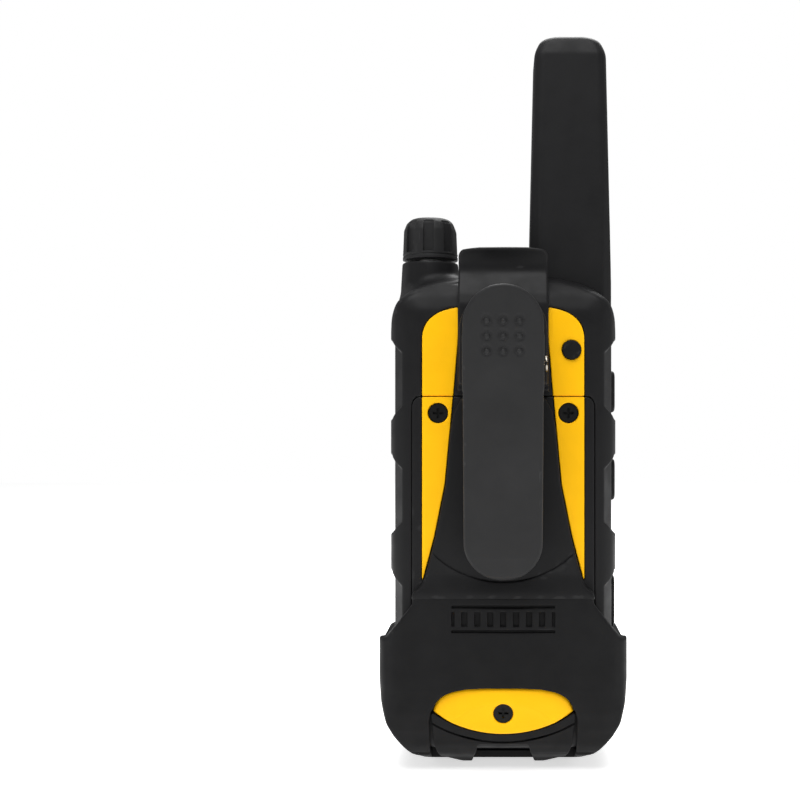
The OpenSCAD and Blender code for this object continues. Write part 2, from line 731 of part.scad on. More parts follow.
module clip_base() {
    color(black) difference() {
        union() {
            along_y(19.1, 21) polygon(both([[6.9, 54], [6.9, 94.6]]));
            along_x(-9, 9) polygon([[20.9, 53], [25.2, 50.6], [26.2, 54], [26.2, 97.7], [27.5, 97.7], [27.5, 104],
                [25.3, 104], [25.3, 100.6], [21.3, 100.6], [21.3, 95.6], [20.9, 95.6]]);
            along_y(25.3, 27.5) {
                translate([0, 121.4 - ear_half]) circle(r = ear_half);
                polygon(both([[ear_half, 97.7], [ear_half, 121.4 - ear_half]]));
            }
            for (s = [-1, 1]) translate([s * 5.5, 0, 0]) along_x(-1.3, 1.3) {
                polygon([[27.4, 96.6], [pivot_y, 99.6], [pivot_y, 105.6], [27.4, 108]]);
                translate([pivot_y, pivot_z]) circle(r = 3);
            }
        }
        translate([-20, pivot_y, pivot_z]) rotate([0, 90, 0]) cylinder(r = pin_r + 0.03, h = 40);
    }
}

module clip_boss() {
    color(black) at_y(0, 76, 26.25, 28.4, 9.1);
    color(black) at_y(0, 76, 28.3, 29, 8.2);
}

module clip_pin() {
    color(steel) translate([0, pivot_y, pivot_z]) rotate([0, 90, 0]) difference() {
        union() {
            translate([0, 0, -9.9]) cylinder(r = pin_r, h = 19.3);
            translate([0, 0, -10.5]) cylinder(r = 2, h = 0.7);
        }
        box([-0.35, -3, -11], [0.35, 3, -10.2]);
    }
}

module clip_spring() {
    color(steel) translate([0, pivot_y, pivot_z]) rotate([0, 90, 0]) {
        for (k = [-3 : 3]) translate([0, 0, k * 1.0]) rotate_extrude() translate([2.2, 0]) circle(r = 0.52);
    }
}

module clip_latch() {
    color(black) intersection() {
        along_x(-11.3, 11.3) polygon([[20.7, latch_foot], [20.7, 112], [20.1, 118.4], [19.2, 121.6], [17.6, 124.3],
            [16.1, 127], [15.9, 129], [16.6, 131.2], [17.9, 133.1], [16.6, 133.8], [15.1, 132.2], [14.1, 129.6],
            [14.2, 127], [15.9, 123.6], [17.4, 121], [18.3, 118], [18.9, 112], [18.9, latch_foot]]);
        along_y(0, 40) polygon(both([[11.3, 90], [11.3, 131.6], [10.6, 132.6], [6, 133.4]]));
    }
    color(black) translate([-11.3, 19.8, latch_foot]) rotate([0, 90, 0]) cylinder(r = 0.9, h = 22.6);
}

module paddle_side() {
    l = tan(paddle_lean);
    y0 = 31.5;
    polygon([[y0 + (55.5 - 68.5) * l, 55.5], [27.4, 52.6], [27.2, 51], [28.4, 50], [30.6, 51.4],
        [y0 + (56 - 68.5) * l + paddle_t, 56], [y0 + (121.2 - 68.5) * l + paddle_t, 121.2],
        [y0 + (121.2 - 68.5) * l, 121.2]]);
}

module clip_paddle() {
    color([0.21, 0.21, 0.21]) difference() {
        union() {
            intersection() {
                along_x(-paddle_half, paddle_half) paddle_side();
                along_y(20, 50) {
                    translate([0, 120.5 - paddle_half]) circle(r = paddle_half);
                    translate([0, 50 + paddle_half]) circle(r = paddle_half);
                    polygon(both([[paddle_half, 50 + paddle_half], [paddle_half, 120.5 - paddle_half]]));
                }
            }
            for (s = [-1, 1]) translate([s * 8.4, 0, 0]) along_x(-1.4, 1.4) {
                polygon([[pivot_y, 99.8], [36.9, 96.4], [38.2, 108.4], [pivot_y, 105.4]]);
                translate([pivot_y, pivot_z]) circle(r = 2.9);
            }
        }
        translate([-20, pivot_y, pivot_z]) rotate([0, 90, 0]) cylinder(r = pin_r + 0.06, h = 40);
        for (i = [-1 : 1], j = [0 : 2])
            translate([i * 3.75, 31.5 + (112 - 3.45 * j - 68.5) * tan(paddle_lean) + paddle_t + 0.9, 112 - 3.45 * j])
                sphere(r = 1.3);
    }
}

rear_shell();
front_shell();
case_seal();
front_bezel();
display_window();
lcd_module();
speaker_driver();
speaker_cone();
speaker_cloth();
microphone();
main_board();
rf_shield();
tact_switches();
volume_encoder();
knob_seal();
antenna_cover();
antenna_element();
antenna_feed();
battery_cells();
cell_contacts();
cell_springs();
bumper();
base_lug();
rear_accents();
vent_plug();
case_screws();
usb_port();
volume_knob();
knob_shaft();
ptt_button();
call_button();
menu_button();
up_button();
down_button();
usb_cover();
battery_door();
door_accents();
door_bumper();
door_lens();
door_screws();
door_seal();
clip_base();
clip_boss();
clip_pin();
clip_spring();
clip_latch();
clip_paddle();
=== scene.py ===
"""Handheld two way radio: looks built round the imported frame."""

import math

import bpy
import numpy as np
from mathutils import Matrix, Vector


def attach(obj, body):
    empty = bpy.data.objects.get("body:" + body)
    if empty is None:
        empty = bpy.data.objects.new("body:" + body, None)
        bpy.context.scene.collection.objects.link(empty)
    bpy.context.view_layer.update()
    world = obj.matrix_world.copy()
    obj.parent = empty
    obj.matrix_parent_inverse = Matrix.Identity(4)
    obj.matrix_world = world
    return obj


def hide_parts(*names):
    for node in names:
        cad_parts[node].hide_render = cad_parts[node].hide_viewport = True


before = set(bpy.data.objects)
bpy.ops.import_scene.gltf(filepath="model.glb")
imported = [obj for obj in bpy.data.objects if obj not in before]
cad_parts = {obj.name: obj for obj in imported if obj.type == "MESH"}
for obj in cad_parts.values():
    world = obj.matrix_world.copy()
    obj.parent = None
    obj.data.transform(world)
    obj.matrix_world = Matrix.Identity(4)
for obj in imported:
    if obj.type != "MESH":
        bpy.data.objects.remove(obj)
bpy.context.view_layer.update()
MM = 0.001
COARSE = 1.0


# ---------------------------------------------------------------- camera, light and floor
def make_stage():
    camera = bpy.data.objects.new("camera", bpy.data.cameras.new("camera"))
    bpy.context.scene.collection.objects.link(camera)
    camera.location = (0.0, 0.276, 0.092)
    camera.rotation_euler = (math.radians(90), 0, math.radians(180))
    camera.data.lens = 46.35
    camera.data.sensor_width = 36
    camera.data.shift_x = -0.129
    camera.data.shift_y = 0.0103
    camera.data.clip_start = 0.01
    bpy.context.scene.camera = camera
    bpy.context.scene.view_settings.view_transform = "Standard"

    world = bpy.data.worlds.new("studio")
    bpy.context.scene.world = world
    world.use_nodes = True
    nodes, links = world.node_tree.nodes, world.node_tree.links
    nodes.clear()
    out = nodes.new("ShaderNodeOutputWorld")
    mix = nodes.new("ShaderNodeMixShader")
    path = nodes.new("ShaderNodeLightPath")
    seen = nodes.new("ShaderNodeBackground")
    fill = nodes.new("ShaderNodeBackground")
    seen.inputs["Color"].default_value = (1, 1, 1, 1)
    fill.inputs["Color"].default_value = (1, 1, 1, 1)
    fill.inputs["Strength"].default_value = 0.30
    links.new(path.outputs["Is Camera Ray"], mix.inputs[0])
    links.new(fill.outputs[0], mix.inputs[1])
    links.new(seen.outputs[0], mix.inputs[2])
    links.new(mix.outputs[0], out.inputs[0])

    def area(name, place, aim, size, watts, size_y=None):
        data = bpy.data.lights.new(name, "AREA")
        data.energy = watts
        data.size = size
        if size_y:
            data.shape = "RECTANGLE"
            data.size_y = size_y
        ob = bpy.data.objects.new(name, data)
        bpy.context.scene.collection.objects.link(ob)
        ob.location = place
        ob.rotation_euler = (Vector(aim) - Vector(place)).to_track_quat("-Z", "Y").to_euler()

    for side, word in ((1, "rear"), (-1, "front")):
        area(f"over_{word}", (0.05 * side, 0.30 * side, 0.62), (0, 0, 0.09), 0.42, 3.4)
        area(f"left_{word}", (0.55 * side, 0.30 * side, 0.22), (0, 0, 0.09), 0.30, 0.28, 0.6)
        area(f"right_{word}", (-0.55 * side, 0.26 * side, 0.24), (0, 0, 0.09), 0.26, 0.22, 0.6)

    bpy.ops.mesh.primitive_plane_add(size=2, location=(0, 0, -0.0002))
    floor = bpy.context.object
    floor.name = "floor"
    material = bpy.data.materials.new("floor")
    material.use_nodes = True
    shader = material.node_tree.nodes["Principled BSDF"]
    shader.inputs["Base Color"].default_value = (0.95, 0.95, 0.95, 1)
    shader.inputs["Roughness"].default_value = 0.9
    shader.inputs["Specular IOR Level"].default_value = 0.1
    shader.inputs["Emission Color"].default_value = (1, 1, 1, 1)
    shader.inputs["Emission Strength"].default_value = 0.62
    floor.data.materials.append(material)


make_stage()


# ---------------------------------------------------------------- materials
def material(name, colour, rough, grain=0.25, bump=0.1, tint=0.06, rough_span=0.08, edge_wear_and_highlight=0.0, metal=0.0,
             coat=0.0, spec=0.13, stretch=None, print_and_groove_shade=None):
    """Moulded or metal surface: fine grain, soft mottling, uneven gloss and paler edges, partly wear and
    partly painted highlight.
    """
    m = bpy.data.materials.new(name)
    m.use_nodes = True
    nodes, links = m.node_tree.nodes, m.node_tree.links
    shader = nodes["Principled BSDF"]
    place = nodes.new("ShaderNodeTexCoord")
    source = place.outputs["Object"]
    if stretch:
        mapping = nodes.new("ShaderNodeMapping")
        mapping.inputs["Scale"].default_value = stretch
        links.new(source, mapping.inputs["Vector"])
        source = mapping.outputs["Vector"]

    def noise(size, detail=2.0, rough_=0.5):
        n = nodes.new("ShaderNodeTexNoise")
        n.inputs["Scale"].default_value = 1000.0 / size
        n.inputs["Detail"].default_value = detail
        n.inputs["Roughness"].default_value = rough_
        links.new(source, n.inputs["Vector"])
        return n.outputs["Fac"]

    def span(value, low, high):
        r = nodes.new("ShaderNodeMapRange")
        r.inputs["From Min"].default_value = 0.3
        r.inputs["From Max"].default_value = 0.7
        r.inputs["To Min"].default_value = low
        r.inputs["To Max"].default_value = high
        links.new(value, r.inputs["Value"])
        return r.outputs["Result"]

    def mix(a, b, factor, mode="MIX"):
        x = nodes.new("ShaderNodeMix")
        x.data_type = "RGBA"
        x.blend_type = mode
        for value, socket in ((factor, x.inputs[0]), (a, x.inputs[6]), (b, x.inputs[7])):
            if hasattr(value, "is_linked"):
                links.new(value, socket)
            elif isinstance(value, (int, float)):
                socket.default_value = value
            else:
                socket.default_value = (*value, 1)
        return x.outputs[2]

    mottled = noise(9.0, 4.0, 0.6)
    base = mix([c * (1 - tint) for c in colour], [min(1, c * (1 + tint)) for c in colour],
               span(mottled, 0, 1))
    # paler colour on sharp edges: partly edge wear, partly a painted highlight where edges catch the light
    if edge_wear_and_highlight:
        edge = nodes.new("ShaderNodeNewGeometry").outputs["Pointiness"]
        r = nodes.new("ShaderNodeMapRange")
        r.inputs["From Min"].default_value = 0.51
        r.inputs["From Max"].default_value = 0.60
        r.inputs["To Max"].default_value = edge_wear_and_highlight
        links.new(edge, r.inputs["Value"])
        times = nodes.new("ShaderNodeMath")
        times.operation = "MULTIPLY"
        links.new(r.outputs["Result"], times.inputs[0])
        links.new(span(noise(3.0, 3.0), 0.3, 1.0), times.inputs[1])
        base = mix(base, [min(1, c * 1.5 + 0.03) for c in colour], times.outputs[0])
    # darker bars: printed lines on the yellow bezel; on the rubber guard, painted shade in the grooves of
    # the engraved mark
    if print_and_groove_shade:
        base = mix(base, print_and_groove_shade[0], print_and_groove_shade[1](nodes, links, place.outputs["Object"]))
    links.new(base, shader.inputs["Base Color"])
    links.new(span(noise(5.0, 3.0), rough - rough_span, rough + rough_span), shader.inputs["Roughness"])
    shader.inputs["Metallic"].default_value = metal
    shader.inputs["Coat Weight"].default_value = coat
    shader.inputs["Coat Roughness"].default_value = 0.08
    shader.inputs["Specular IOR Level"].default_value = spec
    if bump:
        b = nodes.new("ShaderNodeBump")
        b.inputs["Strength"].default_value = bump
        b.inputs["Distance"].default_value = 0.05 * MM * max(1.0, grain * 2)
        add = nodes.new("ShaderNodeMath")
        add.operation = "ADD"
        links.new(noise(grain, 2.0, 0.6), add.inputs[0])
        links.new(span(noise(grain * 5, 2.0), 0.0, 0.35), add.inputs[1])
        links.new(add.outputs[0], b.inputs["Height"])
        links.new(b.outputs["Normal"], shader.inputs["Normal"])
    return m


def bars(lines, plane=("LESS_THAN", -14.0)):
    """Plain bars: each is (low, high, reach, rib pitch or 0) in mm, kept to one face by the plane test."""
    def build(nodes, links, where):
        split = nodes.new("ShaderNodeSeparateXYZ")
        links.new(where, split.inputs[0])

        def test(value, operation, limit):
            t = nodes.new("ShaderNodeMath")
            t.operation = operation
            links.new(value, t.inputs[0])
            t.inputs[1].default_value = limit
            return t.outputs[0]

        def both_of(a, b, operation="MULTIPLY"):
            t = nodes.new("ShaderNodeMath")
            t.operation = operation
            links.new(a, t.inputs[0])
            links.new(b, t.inputs[1])
            return t.outputs[0]

        z = split.outputs["Z"]
        wide = nodes.new("ShaderNodeMath")
        wide.operation = "ABSOLUTE"
        links.new(split.outputs["X"], wide.inputs[0])
        total = None
        for low, high, reach, pitch in lines:
            band = both_of(test(z, "GREATER_THAN", low * MM), test(z, "LESS_THAN", high * MM))
            band = both_of(band, test(wide.outputs[0], "LESS_THAN", reach * MM))
            if pitch:
                band = both_of(band, test(test(wide.outputs[0], "PINGPONG", 0.5 * pitch * MM),
                                          "LESS_THAN", 0.24 * pitch * MM))
            total = band if total is None else both_of(total, band, "MAXIMUM")
        return both_of(total, test(split.outputs["Y"], plane[0], plane[1] * MM))
    return build


BLACK = (0.0085, 0.0085, 0.009)
YELLOW = (0.93, 0.485, 0.003)
M = {
    "shell": material("moulded_black", BLACK, 0.46, 0.22, 0.12, edge_wear_and_highlight=0.35),
    "front": material("moulded_black_front", (0.0085, 0.0085, 0.009), 0.44, 0.22, 0.12, edge_wear_and_highlight=0.35),
    "knob": material("knob_black", (0.016, 0.016, 0.0165), 0.46, 0.22, 0.12, edge_wear_and_highlight=0.35),
    "antenna": material("antenna_black", (0.0085, 0.0085, 0.009), 0.50, 0.3, 0.08, edge_wear_and_highlight=0.3),
    # the guard's darker bars are painted shade in the engraved mark's grooves
    "guard": material("rubber_black", (0.0066, 0.0066, 0.007), 0.60, 0.35, 0.16, edge_wear_and_highlight=0.3, spec=0.12,
                      print_and_groove_shade=((0.0030, 0.0030, 0.0032), bars([(36.4, 37.1, 12.8, 0), (42.5, 43.2, 12.8, 0),
                                                             (38.0, 41.6, 12.6, 3.2)],
                                                             ("GREATER_THAN", 19.8)))),
    "key": material("key_rubber", (0.0085, 0.0085, 0.009), 0.50, 0.3, 0.12, edge_wear_and_highlight=0.5),
    "clip": material("nylon_black", (0.0085, 0.0085, 0.009), 0.42, 0.2, 0.10, edge_wear_and_highlight=0.5),
    "paddle": material("nylon_grey", (0.018, 0.018, 0.0185), 0.48, 0.2, 0.12, edge_wear_and_highlight=0.35),
    "accent": material("safety_yellow", YELLOW, 0.42, 0.25, 0.06, tint=0.03, spec=0.10),
    "bezel": material("safety_yellow_front", YELLOW, 0.38, 0.25, 0.06, tint=0.03, spec=0.45,
                      print_and_groove_shade=((0.015, 0.015, 0.016), bars([(37.6, 38.5, 13.5, 0), (48.1, 49.0, 13.5, 0),
                                                          (42.2, 44.4, 8.0, 0)]))),
    "window": material("window_gloss", (0.006, 0.006, 0.008), 0.06, 2.0, 0.01, rough_span=0.02, coat=0.6),
    "lcd": material("display_glass", (0.30, 0.34, 0.29), 0.2, 0.5, 0.02, coat=0.3),
    "board": material("solder_mask", (0.010, 0.085, 0.030), 0.34, 0.8, 0.12, tint=0.2, coat=0.2),
    "tin": material("bright_tin", (0.62, 0.61, 0.58), 0.24, 0.4, 0.04, metal=1.0, rough_span=0.06),
    "zinc": material("zinc_plate", (0.50, 0.50, 0.50), 0.34, 0.3, 0.08, metal=1.0, stretch=(1, 6, 1)),
    "nickel": material("polished_nickel", (0.36, 0.33, 0.28), 0.30, 0.5, 0.03, metal=1.0,
                       rough_span=0.04),
    "oxide": material("black_oxide", (0.010, 0.010, 0.010), 0.38, 0.2, 0.10, metal=0.4),
    "copper": material("copper_wire", (0.72, 0.36, 0.18), 0.30, 0.3, 0.05, metal=1.0),
    "sleeve": material("cell_sleeve", (0.045, 0.06, 0.09), 0.28, 0.5, 0.04, coat=0.25, tint=0.1),
    "seal": material("silicone", (0.05, 0.05, 0.052), 0.6, 0.3, 0.08),
    "cone": material("cone_pulp", (0.03, 0.03, 0.032), 0.7, 0.4, 0.3, tint=0.15),
    "basket": material("basket_lacquer", (0.03, 0.03, 0.033), 0.4, 0.3, 0.1, metal=0.3),
    "cloth": material("acoustic_cloth", (0.010, 0.010, 0.010), 0.85, 0.45, 0.7, tint=0.3),
}


# ---------------------------------------------------------------- shape functions, in millimetres
def both(points):
    """The outline's right half and its mirror image."""
    return list(points) + [(-x, z) for x, z in reversed(points)]


def arcs(points, radius=1.0, steps=5):
    """The outline with rounded corners; an arc never takes more than half of its shorter side."""
    out, count = [], len(points)
    for i in range(count):
        a, b, c = (np.array(points[j % count], float) for j in (i - 1, i, i + 1))
        u, v = a - b, c - b
        lu, lv = np.hypot(*u), np.hypot(*v)
        if lu < 1e-6 or lv < 1e-6:
            continue
        u, v = u / lu, v / lv
        angle = math.acos(max(-1.0, min(1.0, float(u @ v))))
        if angle > math.pi - 0.02:
            out.append(tuple(b))
            continue
        reach = min(radius / math.tan(angle / 2), 0.49 * lu, 0.49 * lv)
        p, q = b + u * reach, b + v * reach
        for k in range(steps + 1):
            t = k / steps
            out.append(tuple((1 - t) ** 2 * p + 2 * t * (1 - t) * b + t * t * q))
    return out


def bend(a, b, c, steps=9):
    """Points along a curve from a to c, pulled toward b, without its two ends."""
    return [tuple((1 - t) ** 2 * p + 2 * t * (1 - t) * q + t * t * r for p, q, r in zip(a, b, c))
            for t in (k / steps for k in range(1, steps + 1))]


def poly(points, u, v):
    """Signed distance to a closed outline, negative inside."""
    near, sign = None, None
    count = len(points)
    for i in range(count):
        (ax, az), (bx, bz) = points[i], points[(i + 1) % count]
        ex, ez = bx - ax, bz - az
        px, pz = u - ax, v - az
        t = np.clip((px * ex + pz * ez) / max(ex * ex + ez * ez, 1e-12), 0, 1)
        d = (px - ex * t) ** 2 + (pz - ez * t) ** 2
        near = d if near is None else np.minimum(near, d)
        c1, c2, c3 = v >= az, v < bz, ex * pz > ez * px
        flip = (c1 & c2 & c3) | (~c1 & ~c2 & ~c3)
        turn = np.where(flip, -1.0, 1.0)
        sign = turn if sign is None else sign * turn
    return (np.sqrt(near) * sign).astype(np.float32)


def cut(a, b, r=0.0):
    """Keeps what is in both, with a round edge of radius r."""
    if r <= 0:
        return np.maximum(a, b)
    return np.minimum(-r, np.maximum(a, b)) + np.hypot(np.maximum(r + a, 0), np.maximum(r + b, 0))


def join(a, b, r=0.0):
    """Adds two shapes, with a fillet of radius r."""
    if r <= 0:
        return np.minimum(a, b)
    return np.maximum(r, np.minimum(a, b)) - np.hypot(np.maximum(r - a, 0), np.maximum(r - b, 0))


def off(a, b, r=0.0):
    """Takes b away from a."""
    return cut(a, -b, r)


def slab(v, low, high):
    return np.abs(v - (low + high) / 2) - (high - low) / 2


def box(x, y, z, low, high, r=0.0):
    return cut(cut(slab(x, low[0], high[0]), slab(y, low[1], high[1]), r), slab(z, low[2], high[2]), r)


def rod(u, v, w, centre, radius, low, high, r=0.0):
    return cut(np.hypot(u - centre[0], v - centre[1]) - radius, slab(w, low, high), r)


def tile(w, h, c, r=1.0):
    """A rectangle about the origin, with its corners cut by c and softened by r."""
    a, b = w / 2, h / 2
    return arcs([(c - a, -b), (a - c, -b), (a, c - b), (a, b - c), (a - c, b), (c - a, b), (-a, b - c),
                 (-a, c - b)], r)


def round_tile(u, v, w, h, r):
    qx, qy = np.abs(u) - w / 2 + r, np.abs(v) - h / 2 + r
    return np.minimum(np.maximum(qx, qy), 0) + np.hypot(np.maximum(qx, 0), np.maximum(qy, 0)) - r


# ---------------------------------------------------------------- from a shape function to a mesh
def nets(low, high, step, shape):
    """A closed mesh of quads on the shape's surface, with normals from the shape itself."""
    axes = [np.arange(a - step, b + 2 * step, step, dtype=np.float32) for a, b in zip(low, high)]
    x, y, z = axes[0][:, None, None], axes[1][None, :, None], axes[2][None, None, :]
    f = np.broadcast_to(shape(x, y, z), (len(axes[0]), len(axes[1]),
                                         len(axes[2]))).astype(np.float32).copy()
    f[f == 0] = 1e-6
    f[0], f[-1], f[:, 0], f[:, -1], f[:, :, 0], f[:, :, -1] = 1, 1, 1, 1, 1, 1
    inside = f < 0
    n = [s - 1 for s in f.shape]
    some = np.zeros(n, bool)
    every = np.ones(n, bool)
    corners = [(i, j, k) for i in (0, 1) for j in (0, 1) for k in (0, 1)]
    for i, j, k in corners:
        part = inside[i:n[0] + i, j:n[1] + j, k:n[2] + k]
        some |= part
        every &= part
    cells = np.argwhere(some & ~every)
    index = np.full(n, -1, np.int32)
    index[tuple(cells.T)] = np.arange(len(cells))
    value = {c: f[cells[:, 0] + c[0], cells[:, 1] + c[1], cells[:, 2] + c[2]] for c in corners}
    total = np.zeros((len(cells), 3))
    hits = np.zeros(len(cells))
    for a in corners:
        for axis in range(3):
            if a[axis]:
                continue
            b = tuple(1 if q == axis else a[q] for q in range(3))
            va, vb = value[a], value[b]
            mask = (va < 0) != (vb < 0)
            t = np.where(mask, va / np.where(mask, va - vb, 1), 0)
            for q in range(3):
                total[:, q] += np.where(mask, a[q] + (t if q == axis else 0), 0)
            hits += mask
    points = cells + total / hits[:, None]
    faces = []
    for axis in range(3):
        o1, o2 = (axis + 1) % 3, (axis + 2) % 3
        first = [slice(1, -1)] * 3
        second = [slice(1, -1)] * 3
        first[axis], second[axis] = slice(0, -1), slice(1, None)
        here, there = inside[tuple(first)], inside[tuple(second)]
        for out_first in (False, True):
            e = np.argwhere((here != there) & (here == out_first))
            e[:, o1] += 1
            e[:, o2] += 1
            quad = []
            for d1, d2 in ((0, 0), (1, 0), (1, 1), (0, 1)):
                c = e.copy()
                c[:, o1] -= d1
                c[:, o2] -= d2
                quad.append(index[tuple(c.T)])
            quad = np.stack(quad, 1)
            faces.append(quad if out_first else quad[:, ::-1])
    faces = np.concatenate(faces)

    def slope(p):
        """The shape's outward direction at grid points p."""
        g = []
        for axis in range(3):
            pair = []
            for sign in (1, -1):
                q = p.copy()
                q[:, axis] += 0.75 * sign
                q = np.clip(q, 0, np.array(f.shape) - 1.001)
                b = q.astype(int)
                w = q - b
                amount = 0
                for i, j, k in corners:
                    weight = (np.where(i, w[:, 0], 1 - w[:, 0]) * np.where(j, w[:, 1], 1 - w[:, 1])
                              * np.where(k, w[:, 2], 1 - w[:, 2]))
                    amount = amount + weight * f[b[:, 0] + i, b[:, 1] + j, b[:, 2] + k]
                pair.append(amount)
            g.append(pair[0] - pair[1])
        g = np.stack(g, 1)
        return g / np.maximum(np.linalg.norm(g, axis=1), 1e-9)[:, None]

    return points, faces, np.array([a[0] for a in axes]), slope


def piece(name, body, nodes, low, high, step, shape, look, keep=0.22):
    """A moulded piece that stands for the CAD nodes and rides on their body."""
    step *= COARSE
    points, faces, start, slope = nets(low, high, step, shape)
    mesh = bpy.data.meshes.new(name)
    mesh.vertices.add(len(points))
    mesh.vertices.foreach_set("co", ((points * step + start) * MM).astype(np.float32).ravel())
    mesh.loops.add(faces.size)
    mesh.loops.foreach_set("vertex_index", faces.astype(np.int32).ravel())
    mesh.polygons.add(len(faces))
    mesh.polygons.foreach_set("loop_start", np.arange(0, faces.size, 4, dtype=np.int32))
    mesh.update(calc_edges=True)
    mesh.validate()
    ob = bpy.data.objects.new(name, mesh)
    bpy.context.scene.collection.objects.link(ob)
    thin = ob.modifiers.new("thin", "DECIMATE")
    thin.ratio = keep
    light = bpy.data.meshes.new_from_object(ob.evaluated_get(bpy.context.evaluated_depsgraph_get()))
    ob.modifiers.clear()
    ob.data = light
    light.name = name
    bpy.data.meshes.remove(mesh)
    co = np.empty(len(light.vertices) * 3, np.float32)
    light.vertices.foreach_get("co", co)
    normals = slope((co.reshape(-1, 3) / MM - start) / step)
    light.polygons.foreach_set("use_smooth", [True] * len(light.polygons))
    light.normals_split_custom_set_from_vertices(normals.tolist())
    light.materials.append(M[look])
    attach(ob, body)
    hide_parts(*nodes)
    print("piece", name, len(faces), len(light.polygons))
    return ob


# ---------------------------------------------------------------- outlines shared by the case pieces
SEAM = -5.8
REAR_OUT = arcs(both([(16, 4), (22, 6.5), (26.2, 12), (28.2, 20), (28.2, 32.4), (29.2, 32.4),
                      (29.2, 111.5), (28.9, 115.2), (27.4, 118.6), (23.6, 122.0), (19.4, 124.2),
                      (14.2, 126.0), (8, 126.8)]), 9)
FRONT_OUT = arcs(both([(16, 4), (22, 6.5), (26.2, 12), (28.2, 20), (28.2, 32.4), (29.2, 32.4),
                       (29.2, 111.5), (28.9, 115.2), (27.4, 118.8), (23.6, 122.6), (19.4, 125.2),
                       (13, 127.9), (5, 129.4)]), 9)
REAR_SECTION = arcs(both([(29.2, -40), (29.2, 11.6), (27.9, 15.2), (25.2, 17.5), (21, 18.5)]), 6)
FRONT_SECTION = arcs(both([(29.2, 40), (29.2, -8.4), (28.3, -10.6), (26, -11.9), (21, -12.4)]), 6)
REAR_SIDE = arcs([(-40, 2), (6, 2), (11, 4), (15, 6), (17.4, 9.6), (18.5, 14), (18.5, 110), (17.9, 116.4),
                  (16.4, 121), (13.4, 124.8), (8, 126.8), (-40, 127.2)], 8)
FRONT_SIDE = arcs([(40, 2), (-4, 2), (-7.4, 4), (-10.6, 6.2), (-12.4, 10), (-12.4, 117.6), (-11.6, 122.6),
                   (-10.2, 126.6), (-8.4, 128.9), (-7, 129.5), (40, 129.5)], 6)
INNER = both([(15, 5.8), (21, 8.2), (24.6, 13), (26.4, 20), (26.4, 112.4), (24.8, 116.4), (18.4, 121.4),
              (10.8, 124)])
SKIN = both([(16, 4), (22, 6.5), (26.2, 12), (27.4, 20), (27.4, 113), (26.4, 117.2), (19, 122.6),
             (11.1, 125.4)])
WEDGE_TOP = arcs([(12.5, 95.02), (11.0, 113), (11.4, 117.3)]
                 + bend((11.4, 117.3), (19.9, 116.2), (20.3, 109.8)) + [(20.3, 95.02)], 0.3)
WEDGE_LOW = arcs([(12.55, 94.86), (20.3, 94.86), (20.3, 48.2), (19.0, 53.2), (17.2, 60), (14.6, 73)],
                 0.25)
BULGE = arcs(both([(22.75, 40), (22.75, 46.2), (20.2, 47.9), (18.6, 53.2), (16.9, 60), (14.3, 73),
                   (12.1, 98)]), 12)
POSTS = ((-8, 91.2), (8, 91.2), (-17.5, 26.6), (17.5, 26.6))
KNOB = (19.4, 1.6)
PLUG = (-17.1, 106.6)
PTT_Z = 103.95
FRONT_KEY_X, FRONT_KEY_Z = 7.9, 55.6
SIDE_KEY_Y, UP_KEY_Z, DOWN_KEY_Z, PORT_Z = 2.1, 96.3, 73.4, 41.6
DOOR_SCREW_X, DOOR_SCREW_Z, LENS_SCREW_Z = 16.3, 90.8, 16.2
MICROPHONE = (12.4, 43)
PIVOT = (31.9, 102.6)
ANTENNA = (-17.45, 2.2)


def mid(k):
    return [((1 - k) * a + k * c, (1 - k) * b + k * d) for (a, b), (c, d) in zip(INNER, SKIN)]


def side_pockets(x, y, z, section):
    """The pockets on both sides, with sloping walls and a floor that falls off to the back corner."""
    d = None
    for z0, h in ((99.2, 21), (70, 21), (41.3, 19.4)):
        outline = poly(tile(29.4, h, 3.8, 1.2), y - 2.6, z - z0)
        d = outline if d is None else np.minimum(d, outline)
    depth = -np.maximum(poly(section, x, y), np.abs(x) - 29.2)
    floor = np.maximum(np.abs(x) - 27.6, 0.868 * np.abs(x) + 0.496 * y - 30.51)
    return np.maximum((d + 0.75 * depth) * 0.8, -floor)


def rear_body(x, y, z):
    across = cut(poly(REAR_OUT, x, z), poly(REAR_SIDE, y, z), 2.2)
    return cut(across, poly(REAR_SECTION, x, y), 1.2)


def front_body(x, y, z):
    across = cut(poly(FRONT_OUT, x, z), poly(FRONT_SIDE, y, z), 3.2)
    return cut(across, poly(FRONT_SECTION, x, y), 1.0)


def door_shape(x, z, grow):
    d = 22.8 + grow
    outline = both([(14 + grow, 13.6 - grow), (14 + grow, 21.5), (d, 24.5), (d, 94.9 + grow)])
    return poly(arcs(outline, 2.7 + grow, 8), x, z)


def posts(x, y, z, r):
    d = None
    for px, pz in POSTS:
        ring = np.hypot(x - px, z - pz) - r
        d = ring if d is None else np.minimum(d, ring)
    return d


def antenna_section(x, y, grow):
    return poly(tile(21.5 + 2 * grow, 15 + 2 * grow, 2.4, 1.2), x - ANTENNA[0], y - ANTENNA[1])


